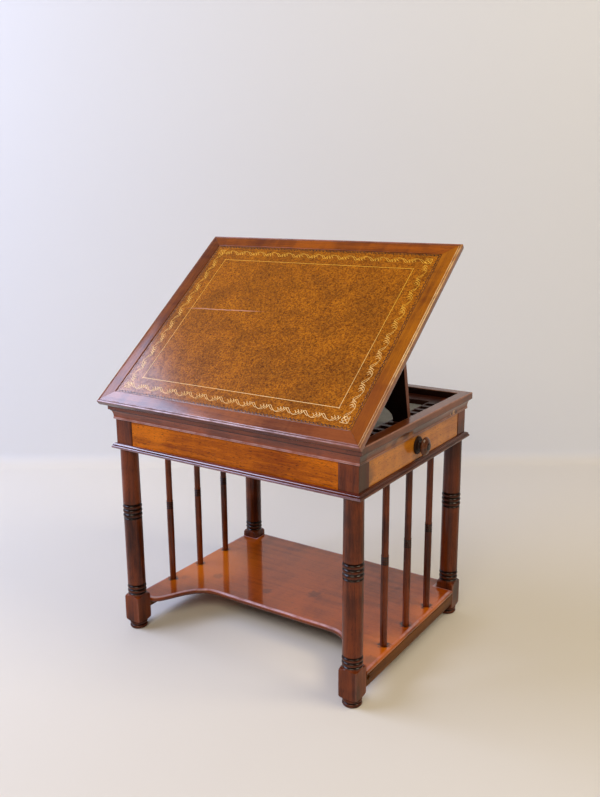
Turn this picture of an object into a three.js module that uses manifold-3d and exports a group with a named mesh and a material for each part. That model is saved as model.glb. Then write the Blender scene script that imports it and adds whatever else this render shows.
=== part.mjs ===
// Tilting reading table, in millimetres, +Z up. +X runs to the right along the front, +Y to the back.
// It stands on its four feet, and its origin is on the floor under the middle of its overall box.

import * as THREE from 'three';
import { mergeVertices } from 'three/addons/utils/BufferGeometryUtils.js';
import Module from 'manifold-3d';

const wasm = await Module();
wasm.setup();

const degree = Math.PI / 180;

// Clearances: fit is the gap between pieces that touch, overrun lets a cut pass its face.
const fit = 0.3;
const overrun = 2;

// The case, measured over the corner posts, and the heights of its bands from the rim down.
const caseWidth = 600;
const caseDepth = 476;
const rimTop = 527;
const rimThickness = 15;
const corniceHeight = 21.5;
const friezeHeight = 53.5;
const baseHeight = 11.5;
const railThickness = 18;
const friezeRecess = 1.8;

// The rim: its inner width, and the projections of its lip, cove and fillet.
const rimInside = 13;
const lipProjection = 11;
const coveProjection = 8;
const filletProjection = 3.5;
const filletHeight = 4;
const coveFlat = 2;

// The moulding round the bottom of the case: a quarter round over a bead.
const baseMould = { projection: 9, bead: 3, roundDepth: 7 };

// The legs, each turned from one square. Their axes are inset from the case's faces, and each
// count is a number of grooves.
const leg = {
  postWidth: 44,
  postDepth: 38.5,
  blockSide: 40,
  insetX: 19,
  insetY: 16,
  radius: 20,
  waistRadius: 19.3,
  footHeight: 18,
  footRadius: 19.5,
  footBead: 5,
  blockTop: 80,
  shoulder: 7,
  blockEase: 3,
  grooveDepth: 2.6,
  grooveWidth: 4.4,
  upperRings: { bottom: 266, pitch: 10, count: 4 },
  lowerRings: { bottom: 86, pitch: 9.3, count: 3 },
};

// The shelf with its two bearers, and the spindles that stand on it.
const shelf = {
  top: 66,
  thickness: 11,
  sideProud: 1,
  backInset: 3,
  setBack: 139,
  straightHalf: 150,
};
const bearer = { thickness: 20, bottom: 31, pocketRadius: 4.5, pocketDepth: 12, pocketInset: 8, pocketBelow: 6.5 };
const spindle = {
  radius: 7.2,
  topRadius: 6.6,
  inset: 18,
  pitch: 100,
  count: 3,
  ringMiddle: 253,
  ringPitch: 4.6,
  ringCount: 4,
  grooveDepth: 1.2,
  grooveWidth: 2.4,
};

// The well under the top: floor, baize, ledges and the two slotted ratchet strips.
const well = { floorThickness: 6, depth: 27, baizeThickness: 1.5, ledgeWidth: 42 };
const strip = { width: 42, slotLength: 18, slotPitch: 30, slotDepth: 6, slotEdge: 3.5, slotsBefore: 5, slotsAfter: 5 };

// The drawer in the right side, its knob and its runners.
const drawer = {
  sideGap: 0.8,
  bottomGap: 0.7,
  topGap: 0.6,
  frontThickness: 17.5,
  boxLength: 400,
  wall: 8,
  sideRise: 2,
  sideHeight: 45,
  backHeight: 39,
  bottomThickness: 5,
  bottomRise: 3,
};
const knob = {
  rise: 30,
  roseRadius: 18.5,
  roseThickness: 3.2,
  neckRadius: 7.5,
  headRadius: 19.5,
  headBack: 11.5,
  headMiddle: 20,
  projection: 27,
  buttonRadius: 6,
  spigotRadius: 5,
  spigotLength: 15,
};
const runner = { lip: 12, height: 44, lipHeight: 8.4 };

// The top: a mitred frame round a core that carries the leather.
const top = {
  sideOverhang: 9,
  frontOverhang: 16,
  backOverhang: 11,
  thickness: 13.5,
  frameWidth: 32.5,
  lidGap: 0.6,
  tilt: 38,
  beadRadius: 2.1,
  quirk: 1.2,
  leatherThickness: 1.5,
  leatherDrop: 1,
  coreRecess: 4,
};

// The butt hinges at the front edge of the top.
const hinge = {
  offset: 10,
  rise: 0.5,
  radius: 4,
  pinRadius: 1.5,
  length: 60,
  middleKnuckle: 24,
  leafThickness: 1.2,
  leafDepth: 30,
  inset: 100,
};

// The strut that holds the top up. Its feet turn in the slots, standBack behind the top's hinges.
const strut = {
  standBack: 261,
  lean: 102,
  thickness: 11,
  sideGap: 3,
  footWidth: 35,
  footReach: 11.5,
  frontRoom: 22.7,
  backRoom: 1.7,
  archRise: 30,
  archCorner: 60,
};
const strutHinge = {
  room: 15.2,
  radius: 2.8,
  pinRadius: 1.5,
  length: 40,
  middleKnuckle: 16,
  leafThickness: 1.2,
  leafDepth: 26,
  inset: 169,
};
const batten = { inset: 114, width: 19, drop: 15.5, plateHeight: 13 };

// How finely round shapes are divided.
const segments = { leg: 24, spindle: 12, knob: 28, hinge: 20, curve: 12, arc: 6 };

// Places that several pieces share.
const halfWidth = caseWidth / 2;
const halfDepth = caseDepth / 2;
const rimBottom = rimTop - rimThickness;
const friezeTop = rimBottom - corniceHeight;
const friezeBottom = friezeTop - friezeHeight;
const caseBottom = friezeBottom - baseHeight;
const carcaseTop = rimBottom - fit;
const wellFloorTop = rimTop - well.depth;
const drawerSideBottom = friezeBottom + drawer.sideRise;
const knobHeight = friezeBottom + knob.rise;
const innerHalfWidth = halfWidth - railThickness;
const innerHalfDepth = halfDepth - railThickness;
const postInnerX = halfWidth - leg.postWidth;
const postInnerY = halfDepth - leg.postDepth;
const legX = halfWidth - leg.insetX;
const legY = halfDepth - leg.insetY;
const blockInnerX = legX - leg.blockSide / 2;
const blockInnerY = legY - leg.blockSide / 2;
const blockOuterX = legX + leg.blockSide / 2;
const blockOuterY = legY + leg.blockSide / 2;
const spindleX = blockOuterX - spindle.inset;
const topWidth = caseWidth + 2 * (lipProjection + top.sideOverhang);
const topDepth = caseDepth + 2 * lipProjection + top.frontOverhang + top.backOverhang;
const lidUnderside = rimTop + top.lidGap;
const lidFront = -(halfDepth + lipProjection + top.frontOverhang);
const hingeX = halfWidth - hinge.inset;
const hingeY = -(halfDepth + lipProjection + hinge.offset);
const hingeZ = rimTop + hinge.rise;
const strutZ = carcaseTop + fit + strut.thickness / 2;
const stripInner = innerHalfWidth - strip.width;
const strutFootY = hingeY + strut.standBack;
const strutLength = strutAxisLength();
const strutReach = strutLength - strutHinge.room;
const strutHalfWidth = innerHalfWidth - strut.sideGap;
const strutHingeX = strutHalfWidth - strutHinge.inset;

// How far the strut's middle line runs from its feet's axis to the underside of the raised top.
function strutAxisLength() {
  const tilt = top.tilt * degree;
  const risen = strut.standBack * Math.sin(tilt) - (strutZ - hingeZ) * Math.cos(tilt);
  return (risen + lidUnderside - hingeZ) / Math.sin(strut.lean * degree - tilt);
}

// Materials, one for each finish.
const finishes = {
  mahogany: { color: 0x6e2c17, roughness: 0.28 },
  darkMahogany: { color: 0x4c1c12, roughness: 0.3 },
  friezeMahogany: { color: 0xa8560f, roughness: 0.25 },
  drawerMahogany: { color: 0xb0703a, roughness: 0.25 },
  shelfMahogany: { color: 0x8a3c18, roughness: 0.2 },
  pine: { color: 0xb98d58, roughness: 0.7 },
  leather: { color: 0xa0681c, roughness: 0.5 },
  baize: { color: 0x5c6a5c, roughness: 0.95 },
  brass: { color: 0x8a6c34, roughness: 0.4, metalness: 1 },
};

// A closed geometry as a solid that can be cut and joined.
function solid(geometry) {
  const bare = geometry.clone();
  bare.deleteAttribute('normal');
  bare.deleteAttribute('uv');
  const merged = mergeVertices(bare);
  return new wasm.Manifold(new wasm.Mesh({
    numProp: 3,
    vertProperties: new Float32Array(merged.attributes.position.array),
    triVerts: new Uint32Array(merged.index.array),
  }));
}

// A solid as a geometry again.
function geometryOf(shape) {
  const mesh = shape.getMesh();
  const geometry = new THREE.BufferGeometry();
  geometry.setAttribute('position', new THREE.BufferAttribute(mesh.vertProperties, mesh.numProp));
  geometry.setIndex(new THREE.BufferAttribute(mesh.triVerts, 1));
  geometry.computeVertexNormals();
  return geometry;
}

// One geometry less some others.
function cut(geometry, ...tools) {
  return geometryOf(tools.reduce((shape, tool) => shape.subtract(solid(tool)), solid(geometry)));
}

// Several geometries that overlap, as one.
function join(geometry, ...others) {
  return geometryOf(others.reduce((shape, other) => shape.add(solid(other)), solid(geometry)));
}

// A box between its lowest and highest places along each axis.
function box([x0, x1], [y0, y1], [z0, z1]) {
  const geometry = new THREE.BoxGeometry(x1 - x0, y1 - y0, z1 - z0);
  return geometry.translate((x0 + x1) / 2, (y0 + y1) / 2, (z0 + z1) / 2);
}

// A round bar along X, about the point (y, z).
function barAlongX(radius, [x0, x1], y, z, sides) {
  const geometry = new THREE.CylinderGeometry(radius, radius, x1 - x0, sides);
  return geometry.rotateZ(Math.PI / 2).translate((x0 + x1) / 2, y, z);
}

// A shape turned about a vertical axis from points [radius, height] that start and end on the axis.
function turned(points, sides) {
  const profile = points.map(([radius, height]) => new THREE.Vector2(radius, height));
  return new THREE.LatheGeometry(profile, sides).rotateX(Math.PI / 2);
}

// Points of an arc in the plane, from one angle to another in degrees.
function arc(centreX, centreY, radiusX, radiusY, from, to, steps = segments.arc) {
  return Array.from({ length: steps + 1 }, (_, i) => {
    const angle = (from + (to - from) * i / steps) * degree;
    return [centreX + radiusX * Math.cos(angle), centreY + radiusY * Math.sin(angle)];
  });
}

// A closed outline as a three.js shape.
function outline(points) {
  return new THREE.Shape(points.map(([x, y]) => new THREE.Vector2(x, y)));
}

// An outline [out, z] carried along the front face of a frame. Out points away from the frame's middle.
// Mitred ends grow with out, so that four such bars meet at 45 degrees; square ends do not.
function bar(points, halfLength, mitred) {
  const geometry = new THREE.ExtrudeGeometry(outline(points), { depth: 1, bevelEnabled: false });
  const place = geometry.attributes.position;
  for (let i = 0; i < place.count; i += 1) {
    const half = halfLength + (mitred ? place.getX(i) - fit / Math.SQRT2 : 0);
    place.setZ(i, place.getZ(i) > 0 ? half : -half);
  }
  const basis = new THREE.Matrix4().makeBasis(
    new THREE.Vector3(0, -1, 0),
    new THREE.Vector3(0, 0, 1),
    new THREE.Vector3(-1, 0, 0),
  );
  geometry.applyMatrix4(basis);
  return geometry;
}

// A named mesh with its own material.
function piece(name, geometry, finish) {
  const material = new THREE.MeshStandardMaterial({ metalness: 0, ...finishes[finish] });
  const mesh = new THREE.Mesh(geometry, material);
  mesh.name = name;
  return mesh;
}

// The four sides of a frame: name, quarter turns from the front, distance of its face, half length.
function sides(faceX, faceY) {
  return [
    { side: 'front', turns: 0, face: faceY, half: faceX },
    { side: 'right', turns: 1, face: faceX, half: faceY },
    { side: 'back', turns: 2, face: faceY, half: faceX },
    { side: 'left', turns: 3, face: faceX, half: faceY },
  ];
}

// A bar's geometry moved out to its face and turned to its side of the frame.
function toSide(geometry, { turns, face }) {
  return geometry.translate(0, -face, 0).rotateZ(turns * Math.PI / 2);
}

// V-shaped rings turned into a surface, as profile points from the lowest groove up.
function rings(radius, bottom, pitch, count, depth, width) {
  return Array.from({ length: count }, (_, i) => bottom + i * pitch).flatMap((middle) => [
    [radius, middle - width / 2],
    [radius - depth, middle],
    [radius, middle + width / 2],
  ]);
}

// A leg: round foot, square block with rounded shoulders, ringed column and square post.
function legGeometry(signX, signY) {
  const column = turned([
    [0, 0],
    [leg.footRadius - leg.footBead / 2, 0],
    ...arc(leg.footRadius - leg.footBead / 2, leg.footBead / 2, leg.footBead / 2, leg.footBead / 2, -45, 60, 3),
    [leg.footRadius - leg.footBead / 2, leg.footBead],
    [leg.footRadius, leg.footHeight - leg.footBead],
    [leg.footRadius - leg.footBead / 2, leg.footHeight + overrun],
    ...rings(leg.radius, leg.lowerRings.bottom, leg.lowerRings.pitch, leg.lowerRings.count,
      leg.grooveDepth, leg.grooveWidth),
    ...rings(leg.radius, leg.upperRings.bottom, leg.upperRings.pitch, leg.upperRings.count,
      leg.grooveDepth, leg.grooveWidth),
    [leg.waistRadius, caseBottom - fit],
    [0, caseBottom - fit],
  ], segments.leg);
  const half = leg.blockSide / 2;
  const corner = half * Math.SQRT2;
  const shoulders = turned([
    [0, leg.footHeight],
    [half + leg.blockEase, leg.footHeight],
    [corner, leg.footHeight + leg.blockEase],
    [corner, leg.blockTop - leg.shoulder],
    [half + leg.blockEase / 2, leg.blockTop],
    [half - leg.blockEase / 2, leg.blockTop + leg.blockEase / 2],
    [0, leg.blockTop + leg.blockEase / 2],
  ], segments.leg);
  const block = solid(box([-half, half], [-half, half], [leg.footHeight, leg.blockTop + leg.blockEase]));
  const round = column.translate(signX * legX, signY * legY, 0);
  const squared = geometryOf(block.intersect(solid(shoulders))).translate(signX * legX, signY * legY, 0);
  const post = box(
    [signX * postInnerX, signX * halfWidth].sort((a, b) => a - b),
    [signY * postInnerY, signY * halfDepth].sort((a, b) => a - b),
    [caseBottom - 2 * fit, carcaseTop],
  );
  return join(round, squared, post);
}

function legs() {
  return [['front', -1], ['back', 1]].flatMap(([row, signY]) => [['left', -1], ['right', 1]].map(
    ([column, signX]) => piece(`leg_${row}_${column}`, legGeometry(signX, signY), 'mahogany'),
  ));
}

// Rails between the posts. Their faces are set back between the two mouldings.
function friezeRails() {
  const profile = [
    [-railThickness, caseBottom],
    [0, caseBottom],
    [0, friezeBottom],
    [-friezeRecess, friezeBottom],
    [-friezeRecess, friezeTop],
    [0, friezeTop],
    [0, carcaseTop],
    [-railThickness, carcaseTop],
  ];
  return sides(halfWidth, halfDepth).filter(({ side }) => side !== 'right').map((at) => {
    const length = at.side === 'left' ? postInnerY : postInnerX;
    return piece(`frieze_rail_${at.side}`, toSide(bar(profile, length - fit, false), at), 'friezeMahogany');
  });
}

// The rails over and under the drawer.
function drawerRails() {
  const x = [innerHalfWidth, halfWidth];
  const y = [-postInnerY + fit, postInnerY - fit];
  return [
    piece('drawer_rail_upper', box(x, y, [friezeTop, carcaseTop]), 'darkMahogany'),
    piece('drawer_rail_lower', box(x, y, [caseBottom, friezeBottom]), 'darkMahogany'),
  ];
}

// The mitred rim that caps the carcase: a flat top, a lip, a cove and a fillet.
function rims() {
  const coveBottom = friezeTop + filletHeight;
  const coveTop = rimBottom - coveFlat;
  const profile = [
    [-rimInside, rimBottom],
    [fit, rimBottom],
    [fit, friezeTop],
    [filletProjection, friezeTop],
    ...arc(coveProjection, coveBottom, coveProjection - filletProjection, coveTop - coveBottom, 180, 90),
    [coveProjection, rimBottom],
    [lipProjection, rimBottom],
    [lipProjection, rimTop],
    [-rimInside, rimTop],
  ];
  return sides(halfWidth, halfDepth).map((at) => {
    const shaped = toSide(bar(profile, at.half, true), at);
    const geometry = at.side === 'front' ? cut(shaped, ...hingePlaces().map(rimRecess)) : shaped;
    return piece(`rim_${at.side}`, geometry, 'mahogany');
  });
}

// The mitred moulding round the bottom of the case.
function baseMouldings() {
  const beadMiddle = caseBottom + baseMould.bead;
  const beadOut = baseMould.projection - baseMould.bead;
  const roundBottom = beadMiddle + baseMould.bead;
  const profile = [
    [fit, caseBottom],
    ...arc(beadOut, beadMiddle, baseMould.bead, baseMould.bead, -90, 90),
    ...arc(fit, roundBottom, baseMould.roundDepth, friezeBottom - roundBottom, 0, 90),
  ];
  return sides(halfWidth, halfDepth).map((at) => piece(
    `base_moulding_${at.side}`,
    toSide(bar(profile, at.half, true), at),
    'darkMahogany',
  ));
}

// Boxes round the four posts, for what is fitted between them.
function postRoom() {
  return [-1, 1].flatMap((signX) => [-1, 1].map((signY) => box(
    [signX * (postInnerX - fit), signX * (halfWidth + overrun)].sort((a, b) => a - b),
    [signY * (postInnerY - fit), signY * (halfDepth + overrun)].sort((a, b) => a - b),
    [0, rimTop],
  )));
}

// The slots' middles along the strips, counted from the one that the strut stands in.
function slotPlaces() {
  const swing = (strip.slotLength - strut.thickness) / 2;
  const first = strutFootY - swing / 2 - strip.slotsBefore * strip.slotPitch;
  const count = strip.slotsBefore + 1 + strip.slotsAfter;
  return Array.from({ length: count }, (_, i) => first + i * strip.slotPitch);
}

// The well: floor, baize, front and back ledges, and the slotted strips at its sides.
function wellPieces() {
  const reachX = innerHalfWidth - fit;
  const reachY = innerHalfDepth - fit;
  const onFloor = wellFloorTop + fit;
  const ledgeInner = innerHalfDepth - well.ledgeWidth;
  const floor = cut(
    box([-reachX, reachX], [-reachY, reachY], [wellFloorTop - well.floorThickness, wellFloorTop]),
    ...postRoom(),
  );
  const baize = box(
    [-stripInner + fit, stripInner - fit],
    [-ledgeInner + fit, ledgeInner - fit],
    [onFloor, onFloor + well.baizeThickness],
  );
  const ledge = (signY) => box(
    [-stripInner + fit, stripInner - fit],
    [signY * ledgeInner, signY * reachY].sort((a, b) => a - b),
    [onFloor, carcaseTop],
  );
  const strips = [['left', -1], ['right', 1]].map(([side, signX]) => {
    const slots = slotPlaces().map((middle) => box(
      [signX * (stripInner + strip.slotEdge), signX * (innerHalfWidth + overrun)].sort((a, b) => a - b),
      [middle - strip.slotLength / 2, middle + strip.slotLength / 2],
      [carcaseTop - strip.slotDepth, carcaseTop + overrun],
    ));
    const blank = box(
      [signX * stripInner, signX * reachX].sort((a, b) => a - b),
      [-reachY, reachY],
      [onFloor, carcaseTop],
    );
    return piece(`ratchet_strip_${side}`, cut(blank, ...postRoom(), ...slots), 'mahogany');
  });
  return [
    piece('well_floor', floor, 'pine'),
    piece('well_baize', baize, 'baize'),
    piece('well_ledge_front', ledge(-1), 'mahogany'),
    piece('well_ledge_back', ledge(1), 'mahogany'),
    ...strips,
  ];
}

// L-shaped runners that carry and guide the drawer's sides.
function runners() {
  const drawerSide = postInnerY - drawer.sideGap;
  const lipTop = drawerSideBottom - fit;
  const bottom = lipTop - runner.lipHeight;
  return [['front', -1], ['back', 1]].map(([row, signY]) => {
    const points = [
      [drawerSide - runner.lip, bottom],
      [innerHalfDepth - fit, bottom],
      [innerHalfDepth - fit, bottom + runner.height],
      [drawerSide + fit, bottom + runner.height],
      [drawerSide + fit, lipTop],
      [drawerSide - runner.lip, lipTop],
    ];
    const geometry = bar(points, postInnerX - fit, false).rotateZ(signY > 0 ? Math.PI : 0);
    return piece(`drawer_runner_${row}`, geometry, 'pine');
  });
}

// The shelf: a straight front set back from the legs, with S-curves out to them.
function shelfBoard() {
  const endX = blockInnerX - fit;
  const endY = blockInnerY - fit;
  const sideX = blockOuterX + shelf.sideProud;
  const frontY = -halfDepth + shelf.setBack;
  const backY = blockOuterY - shelf.backInset;
  const bend = (endX - shelf.straightHalf) / 3 * 2;
  const shape = new THREE.Shape();
  shape.moveTo(-shelf.straightHalf, frontY);
  shape.lineTo(shelf.straightHalf, frontY);
  shape.bezierCurveTo(shelf.straightHalf + bend, frontY, endX - bend / 2, -endY, endX, -endY);
  shape.lineTo(sideX, -endY);
  shape.lineTo(sideX, endY);
  shape.lineTo(endX, endY);
  shape.lineTo(endX, backY);
  shape.lineTo(-endX, backY);
  shape.lineTo(-endX, endY);
  shape.lineTo(-sideX, endY);
  shape.lineTo(-sideX, -endY);
  shape.lineTo(-endX, -endY);
  shape.bezierCurveTo(-endX + bend / 2, -endY, -shelf.straightHalf - bend, frontY, -shelf.straightHalf, frontY);
  const options = { depth: shelf.thickness, bevelEnabled: false, curveSegments: segments.curve };
  const geometry = new THREE.ExtrudeGeometry(shape, options).translate(0, 0, shelf.top - shelf.thickness);
  return piece('shelf_board', geometry, 'shelfMahogany');
}

// The bearers under the shelf's ends, each with a screw pocket beside the front leg.
function bearers() {
  const topZ = shelf.top - shelf.thickness - fit;
  return [['left', -1], ['right', 1]].map(([side, signX]) => {
    const inner = signX * (blockOuterX - bearer.thickness);
    const blank = box(
      [inner, signX * blockOuterX].sort((a, b) => a - b),
      [-blockInnerY + fit, blockInnerY - fit],
      [bearer.bottom, topZ],
    );
    const pocket = barAlongX(
      bearer.pocketRadius,
      [signX * (blockOuterX - bearer.pocketDepth), signX * (blockOuterX + overrun)].sort((a, b) => a - b),
      -blockInnerY + bearer.pocketInset,
      topZ - bearer.pocketBelow,
      segments.hinge,
    );
    return piece(`shelf_bearer_${side}`, cut(blank, pocket), 'mahogany');
  });
}

// Three ringed spindles at each side, between the shelf and the case.
function spindles() {
  const bottom = shelf.top + fit;
  const end = caseBottom - fit;
  const ringBottom = spindle.ringMiddle - (spindle.ringCount - 1) * spindle.ringPitch / 2;
  const points = [
    [0, bottom],
    [spindle.radius, bottom],
    ...rings(spindle.radius, ringBottom, spindle.ringPitch, spindle.ringCount,
      spindle.grooveDepth, spindle.grooveWidth),
    [spindle.topRadius, end],
    [0, end],
  ];
  return [['left', -1], ['right', 1]].flatMap(([side, signX]) => Array.from(
    { length: spindle.count },
    (_, i) => {
      const y = (i - (spindle.count - 1) / 2) * spindle.pitch;
      const mesh = piece(`spindle_${side}_${i + 1}`, turned(points, segments.spindle), 'mahogany');
      mesh.position.set(signX * spindleX, y, 0);
      return mesh;
    },
  ));
}

// The drawer: front, two sides, back, bottom, and a turned knob on a rose.
function drawerPieces() {
  const front = halfWidth - friezeRecess / 2;
  const back = front - drawer.frontThickness;
  const side = postInnerY - drawer.sideGap;
  const boxEnd = back - drawer.boxLength;
  const bottomZ = drawerSideBottom + drawer.bottomRise;
  const hole = barAlongX(knob.spigotRadius + fit, [back - overrun, front + overrun], 0, knobHeight, segments.knob);
  const face = cut(
    box([back, front], [-side, side], [friezeBottom + drawer.bottomGap, friezeTop - drawer.topGap]),
    hole,
  );
  const sidePiece = (signY) => box(
    [boxEnd, back - fit],
    [signY * side, signY * (side - drawer.wall)].sort((a, b) => a - b),
    [drawerSideBottom, drawerSideBottom + drawer.sideHeight],
  );
  const inner = side - drawer.wall - fit;
  const backZ = [bottomZ + drawer.bottomThickness + fit, drawerSideBottom + drawer.backHeight];
  return [
    piece('drawer_front', face, 'drawerMahogany'),
    piece('drawer_side_front', sidePiece(-1), 'pine'),
    piece('drawer_side_back', sidePiece(1), 'pine'),
    piece('drawer_back', box([boxEnd, boxEnd + drawer.wall], [-inner, inner], backZ), 'pine'),
    piece('drawer_bottom', box(
      [boxEnd, back - fit],
      [-inner, inner],
      [bottomZ, bottomZ + drawer.bottomThickness],
    ), 'pine'),
    ...knobPieces(front),
  ];
}

// The rose is a moulded ring on the drawer's face, and the knob's spigot goes through both.
function knobPieces(face) {
  const base = fit;
  const onRose = base + knob.roseThickness + fit;
  const bore = knob.spigotRadius + fit;
  const rose = new THREE.LatheGeometry([
    [bore, base],
    [knob.roseRadius, base],
    [knob.roseRadius, base + knob.roseThickness / 2],
    [knob.roseRadius - knob.roseThickness / 2, base + knob.roseThickness],
    [bore, base + knob.roseThickness],
    [bore, base],
  ].map(([radius, out]) => new THREE.Vector2(radius, out)), segments.knob);
  const headBack = knob.headBack;
  const rim = knob.headMiddle - headBack;
  const head = new THREE.LatheGeometry([
    [0, -knob.spigotLength],
    [knob.spigotRadius, -knob.spigotLength],
    [knob.spigotRadius, onRose],
    [knob.neckRadius + rim / 3, onRose],
    [knob.neckRadius, onRose + rim / 3],
    [knob.neckRadius, headBack],
    ...arc(knob.headRadius - rim, knob.headMiddle, rim, rim, -80, 60),
    [knob.buttonRadius, knob.projection - knob.roseThickness / 2],
    [knob.buttonRadius, knob.projection],
    [0, knob.projection],
  ].map(([radius, out]) => new THREE.Vector2(radius, out)), segments.knob);
  return [['knob_rose', rose], ['drawer_knob', head]].map(([name, geometry]) => {
    const mesh = piece(name, geometry.rotateZ(-Math.PI / 2), 'darkMahogany');
    mesh.position.set(face, 0, knobHeight);
    return mesh;
  });
}

// Where the hinges of the top stand along X.
function hingePlaces() {
  return [['left', -hingeX], ['right', hingeX]];
}

// The recess for a hinge's leaf in the rim.
function rimRecess([, x]) {
  const half = hinge.length / 2 + fit;
  return box(
    [x - half, x + half],
    [hingeY, hingeY + hinge.leafDepth + fit],
    [rimTop - hinge.leafThickness - fit, rimTop + overrun],
  );
}

// A ring-shaped knuckle along X about the hinge's axis.
function knuckle(radius, bore, span, sides = segments.hinge) {
  return cut(
    barAlongX(radius, span, 0, 0, sides),
    barAlongX(bore, [span[0] - overrun, span[1] + overrun], 0, 0, sides),
  );
}

// The hinges' leaves on the case, with two knuckles each, and their pins.
function caseHinges() {
  const half = hinge.length / 2;
  const middle = hinge.middleKnuckle / 2;
  const bore = hinge.pinRadius + fit;
  const leafTop = -hinge.rise;
  return hingePlaces().flatMap(([side, x]) => {
    const ends = [[-half, -middle - fit], [middle + fit, half]];
    const leaf = cut(
      box([-half, half], [0, hinge.leafDepth], [leafTop - hinge.leafThickness, leafTop]),
      barAlongX(hinge.radius - fit, [-half - overrun, half + overrun], 0, 0, segments.hinge),
      barAlongX(hinge.radius + fit, [-middle - fit, middle + fit], 0, 0, segments.hinge),
    );
    const leafMesh = piece(
      `top_hinge_case_leaf_${side}`,
      join(leaf, ...ends.map((span) => knuckle(hinge.radius, bore, span))),
      'brass',
    );
    const pin = piece(
      `top_hinge_pin_${side}`,
      barAlongX(hinge.pinRadius, [-half, half], 0, 0, segments.hinge),
      'brass',
    );
    return [leafMesh, pin].map((mesh) => {
      mesh.position.set(x, hingeY, hingeZ);
      return mesh;
    });
  });
}

// The top's pieces are made as it lies shut, measured from the hinges' axis.
function topPieces() {
  const front = lidFront - hingeY;
  const underside = lidUnderside - hingeZ;
  const surface = underside + top.thickness;
  const middleY = front + topDepth / 2;
  const innerX = topWidth / 2 - top.frameWidth;
  const innerY = topDepth / 2 - top.frameWidth;
  const frame = sides(innerX, innerY).map((at) => {
    const name = at.turns % 2 ? `top_stile_${at.side}` : `top_rail_${at.side}`;
    const shaped = toSide(bar(topProfile(underside, surface), at.half, true), at).translate(0, middleY, 0);
    return piece(name, at.side === 'front' ? cut(shaped, ...topRecesses(underside)) : shaped, 'mahogany');
  });
  const leatherTop = surface - top.leatherDrop;
  const coreTop = leatherTop - top.leatherThickness - fit;
  const field = [[-innerX + fit, innerX - fit], [middleY - innerY + fit, middleY + innerY - fit]];
  return [
    ...frame,
    piece('top_core', box(...field, [underside + top.coreRecess, coreTop]), 'pine'),
    piece('top_leather', box(...field, [coreTop + fit, leatherTop]), 'leather'),
    ...topHinges(underside),
    ...strutHingePieces(underside),
  ];
}

// The frame's section: a bead and a quirk round its outer arris.
function topProfile(underside, surface) {
  const outer = top.frameWidth;
  const bead = top.beadRadius;
  return [
    [0, underside],
    [outer - bead, underside],
    [outer, underside + bead],
    ...arc(outer - bead, surface - bead, bead, bead, 0, 150),
    [outer - 2 * bead - top.quirk / 2, surface - top.quirk],
    [outer - 2 * bead - top.quirk, surface],
    [0, surface],
  ];
}

// Room in the top's front rail for the hinges' leaves and knuckles.
function topRecesses(underside) {
  const half = hinge.length / 2 + fit;
  return hingePlaces().flatMap(([, x]) => [
    box([x - half, x + half], [0, hinge.leafDepth + fit], [underside - overrun, underside + hinge.leafThickness + fit]),
    barAlongX(hinge.radius + fit, [x - half, x + half], 0, 0, segments.hinge),
  ]);
}

// The hinges' leaves on the top, with one knuckle each.
function topHinges(underside) {
  const half = hinge.length / 2;
  const middle = hinge.middleKnuckle / 2 - fit;
  return hingePlaces().map(([side, x]) => {
    const leaf = cut(
      box([-half, half], [0, hinge.leafDepth], [underside, underside + hinge.leafThickness]),
      barAlongX(hinge.radius - fit, [-middle, middle], 0, 0, segments.hinge),
      barAlongX(hinge.radius + fit, [-half - overrun, -middle], 0, 0, segments.hinge),
      barAlongX(hinge.radius + fit, [middle, half + overrun], 0, 0, segments.hinge),
    );
    const geometry = join(leaf, knuckle(hinge.radius, hinge.pinRadius + fit, [-middle, middle]));
    return piece(`top_hinge_leaf_${side}`, geometry.translate(x, 0, 0), 'brass');
  });
}

// Where the strut's hinge pins lie, seen from the top's axis with the top lying shut.
function strutPin() {
  const lean = strut.lean * degree;
  const y = strutFootY + strutReach * Math.cos(lean) - strut.thickness / 2 * Math.sin(lean);
  const z = strutZ + strutReach * Math.sin(lean) + strut.thickness / 2 * Math.cos(lean);
  return new THREE.Vector2(y - hingeY, z - hingeZ).rotateAround(new THREE.Vector2(), -top.tilt * degree);
}

// The batten under the top, and its hinge plates with the pins that the strut bears on.
function strutHingePieces(underside) {
  const pin = strutPin();
  const back = pin.x - strutHinge.radius - strutHinge.leafThickness - fit;
  const core = underside + top.coreRecess - fit;
  const battenHalf = strutHalfWidth - batten.inset;
  const geometry = box([-battenHalf, battenHalf], [back - batten.width, back], [-batten.drop, core]);
  const half = strutHinge.length / 2;
  const middle = strutHinge.middleKnuckle / 2;
  const plates = strutLeafPlaces().map(([side, x]) => {
    const plate = box(
      [-half, half],
      [back - pin.x + fit, back - pin.x + fit + strutHinge.leafThickness],
      [-strutHinge.radius, batten.plateHeight],
    );
    const ends = [[-half, -middle], [middle, half]].map((span) => barAlongX(
      strutHinge.radius,
      span,
      0,
      0,
      segments.hinge,
    ));
    const arms = ends.map((_, i) => box(
      [[-half, -middle], [middle, half]][i],
      [back - pin.x + fit, 0],
      [-strutHinge.pinRadius, strutHinge.pinRadius],
    ));
    const wire = barAlongX(strutHinge.pinRadius, [-half, half], 0, 0, segments.hinge);
    const room = box(
      [-middle - fit, middle + fit],
      [back - pin.x + fit, 0],
      [-strutHinge.radius - overrun, batten.plateHeight / 2],
    );
    const whole = join(cut(plate, room), ...ends, ...arms, wire);
    return piece(`strut_hinge_plate_${side}`, whole.translate(x, pin.x, pin.y), 'brass');
  });
  return [piece('strut_hinge_batten', geometry, 'mahogany'), ...plates];
}

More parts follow.
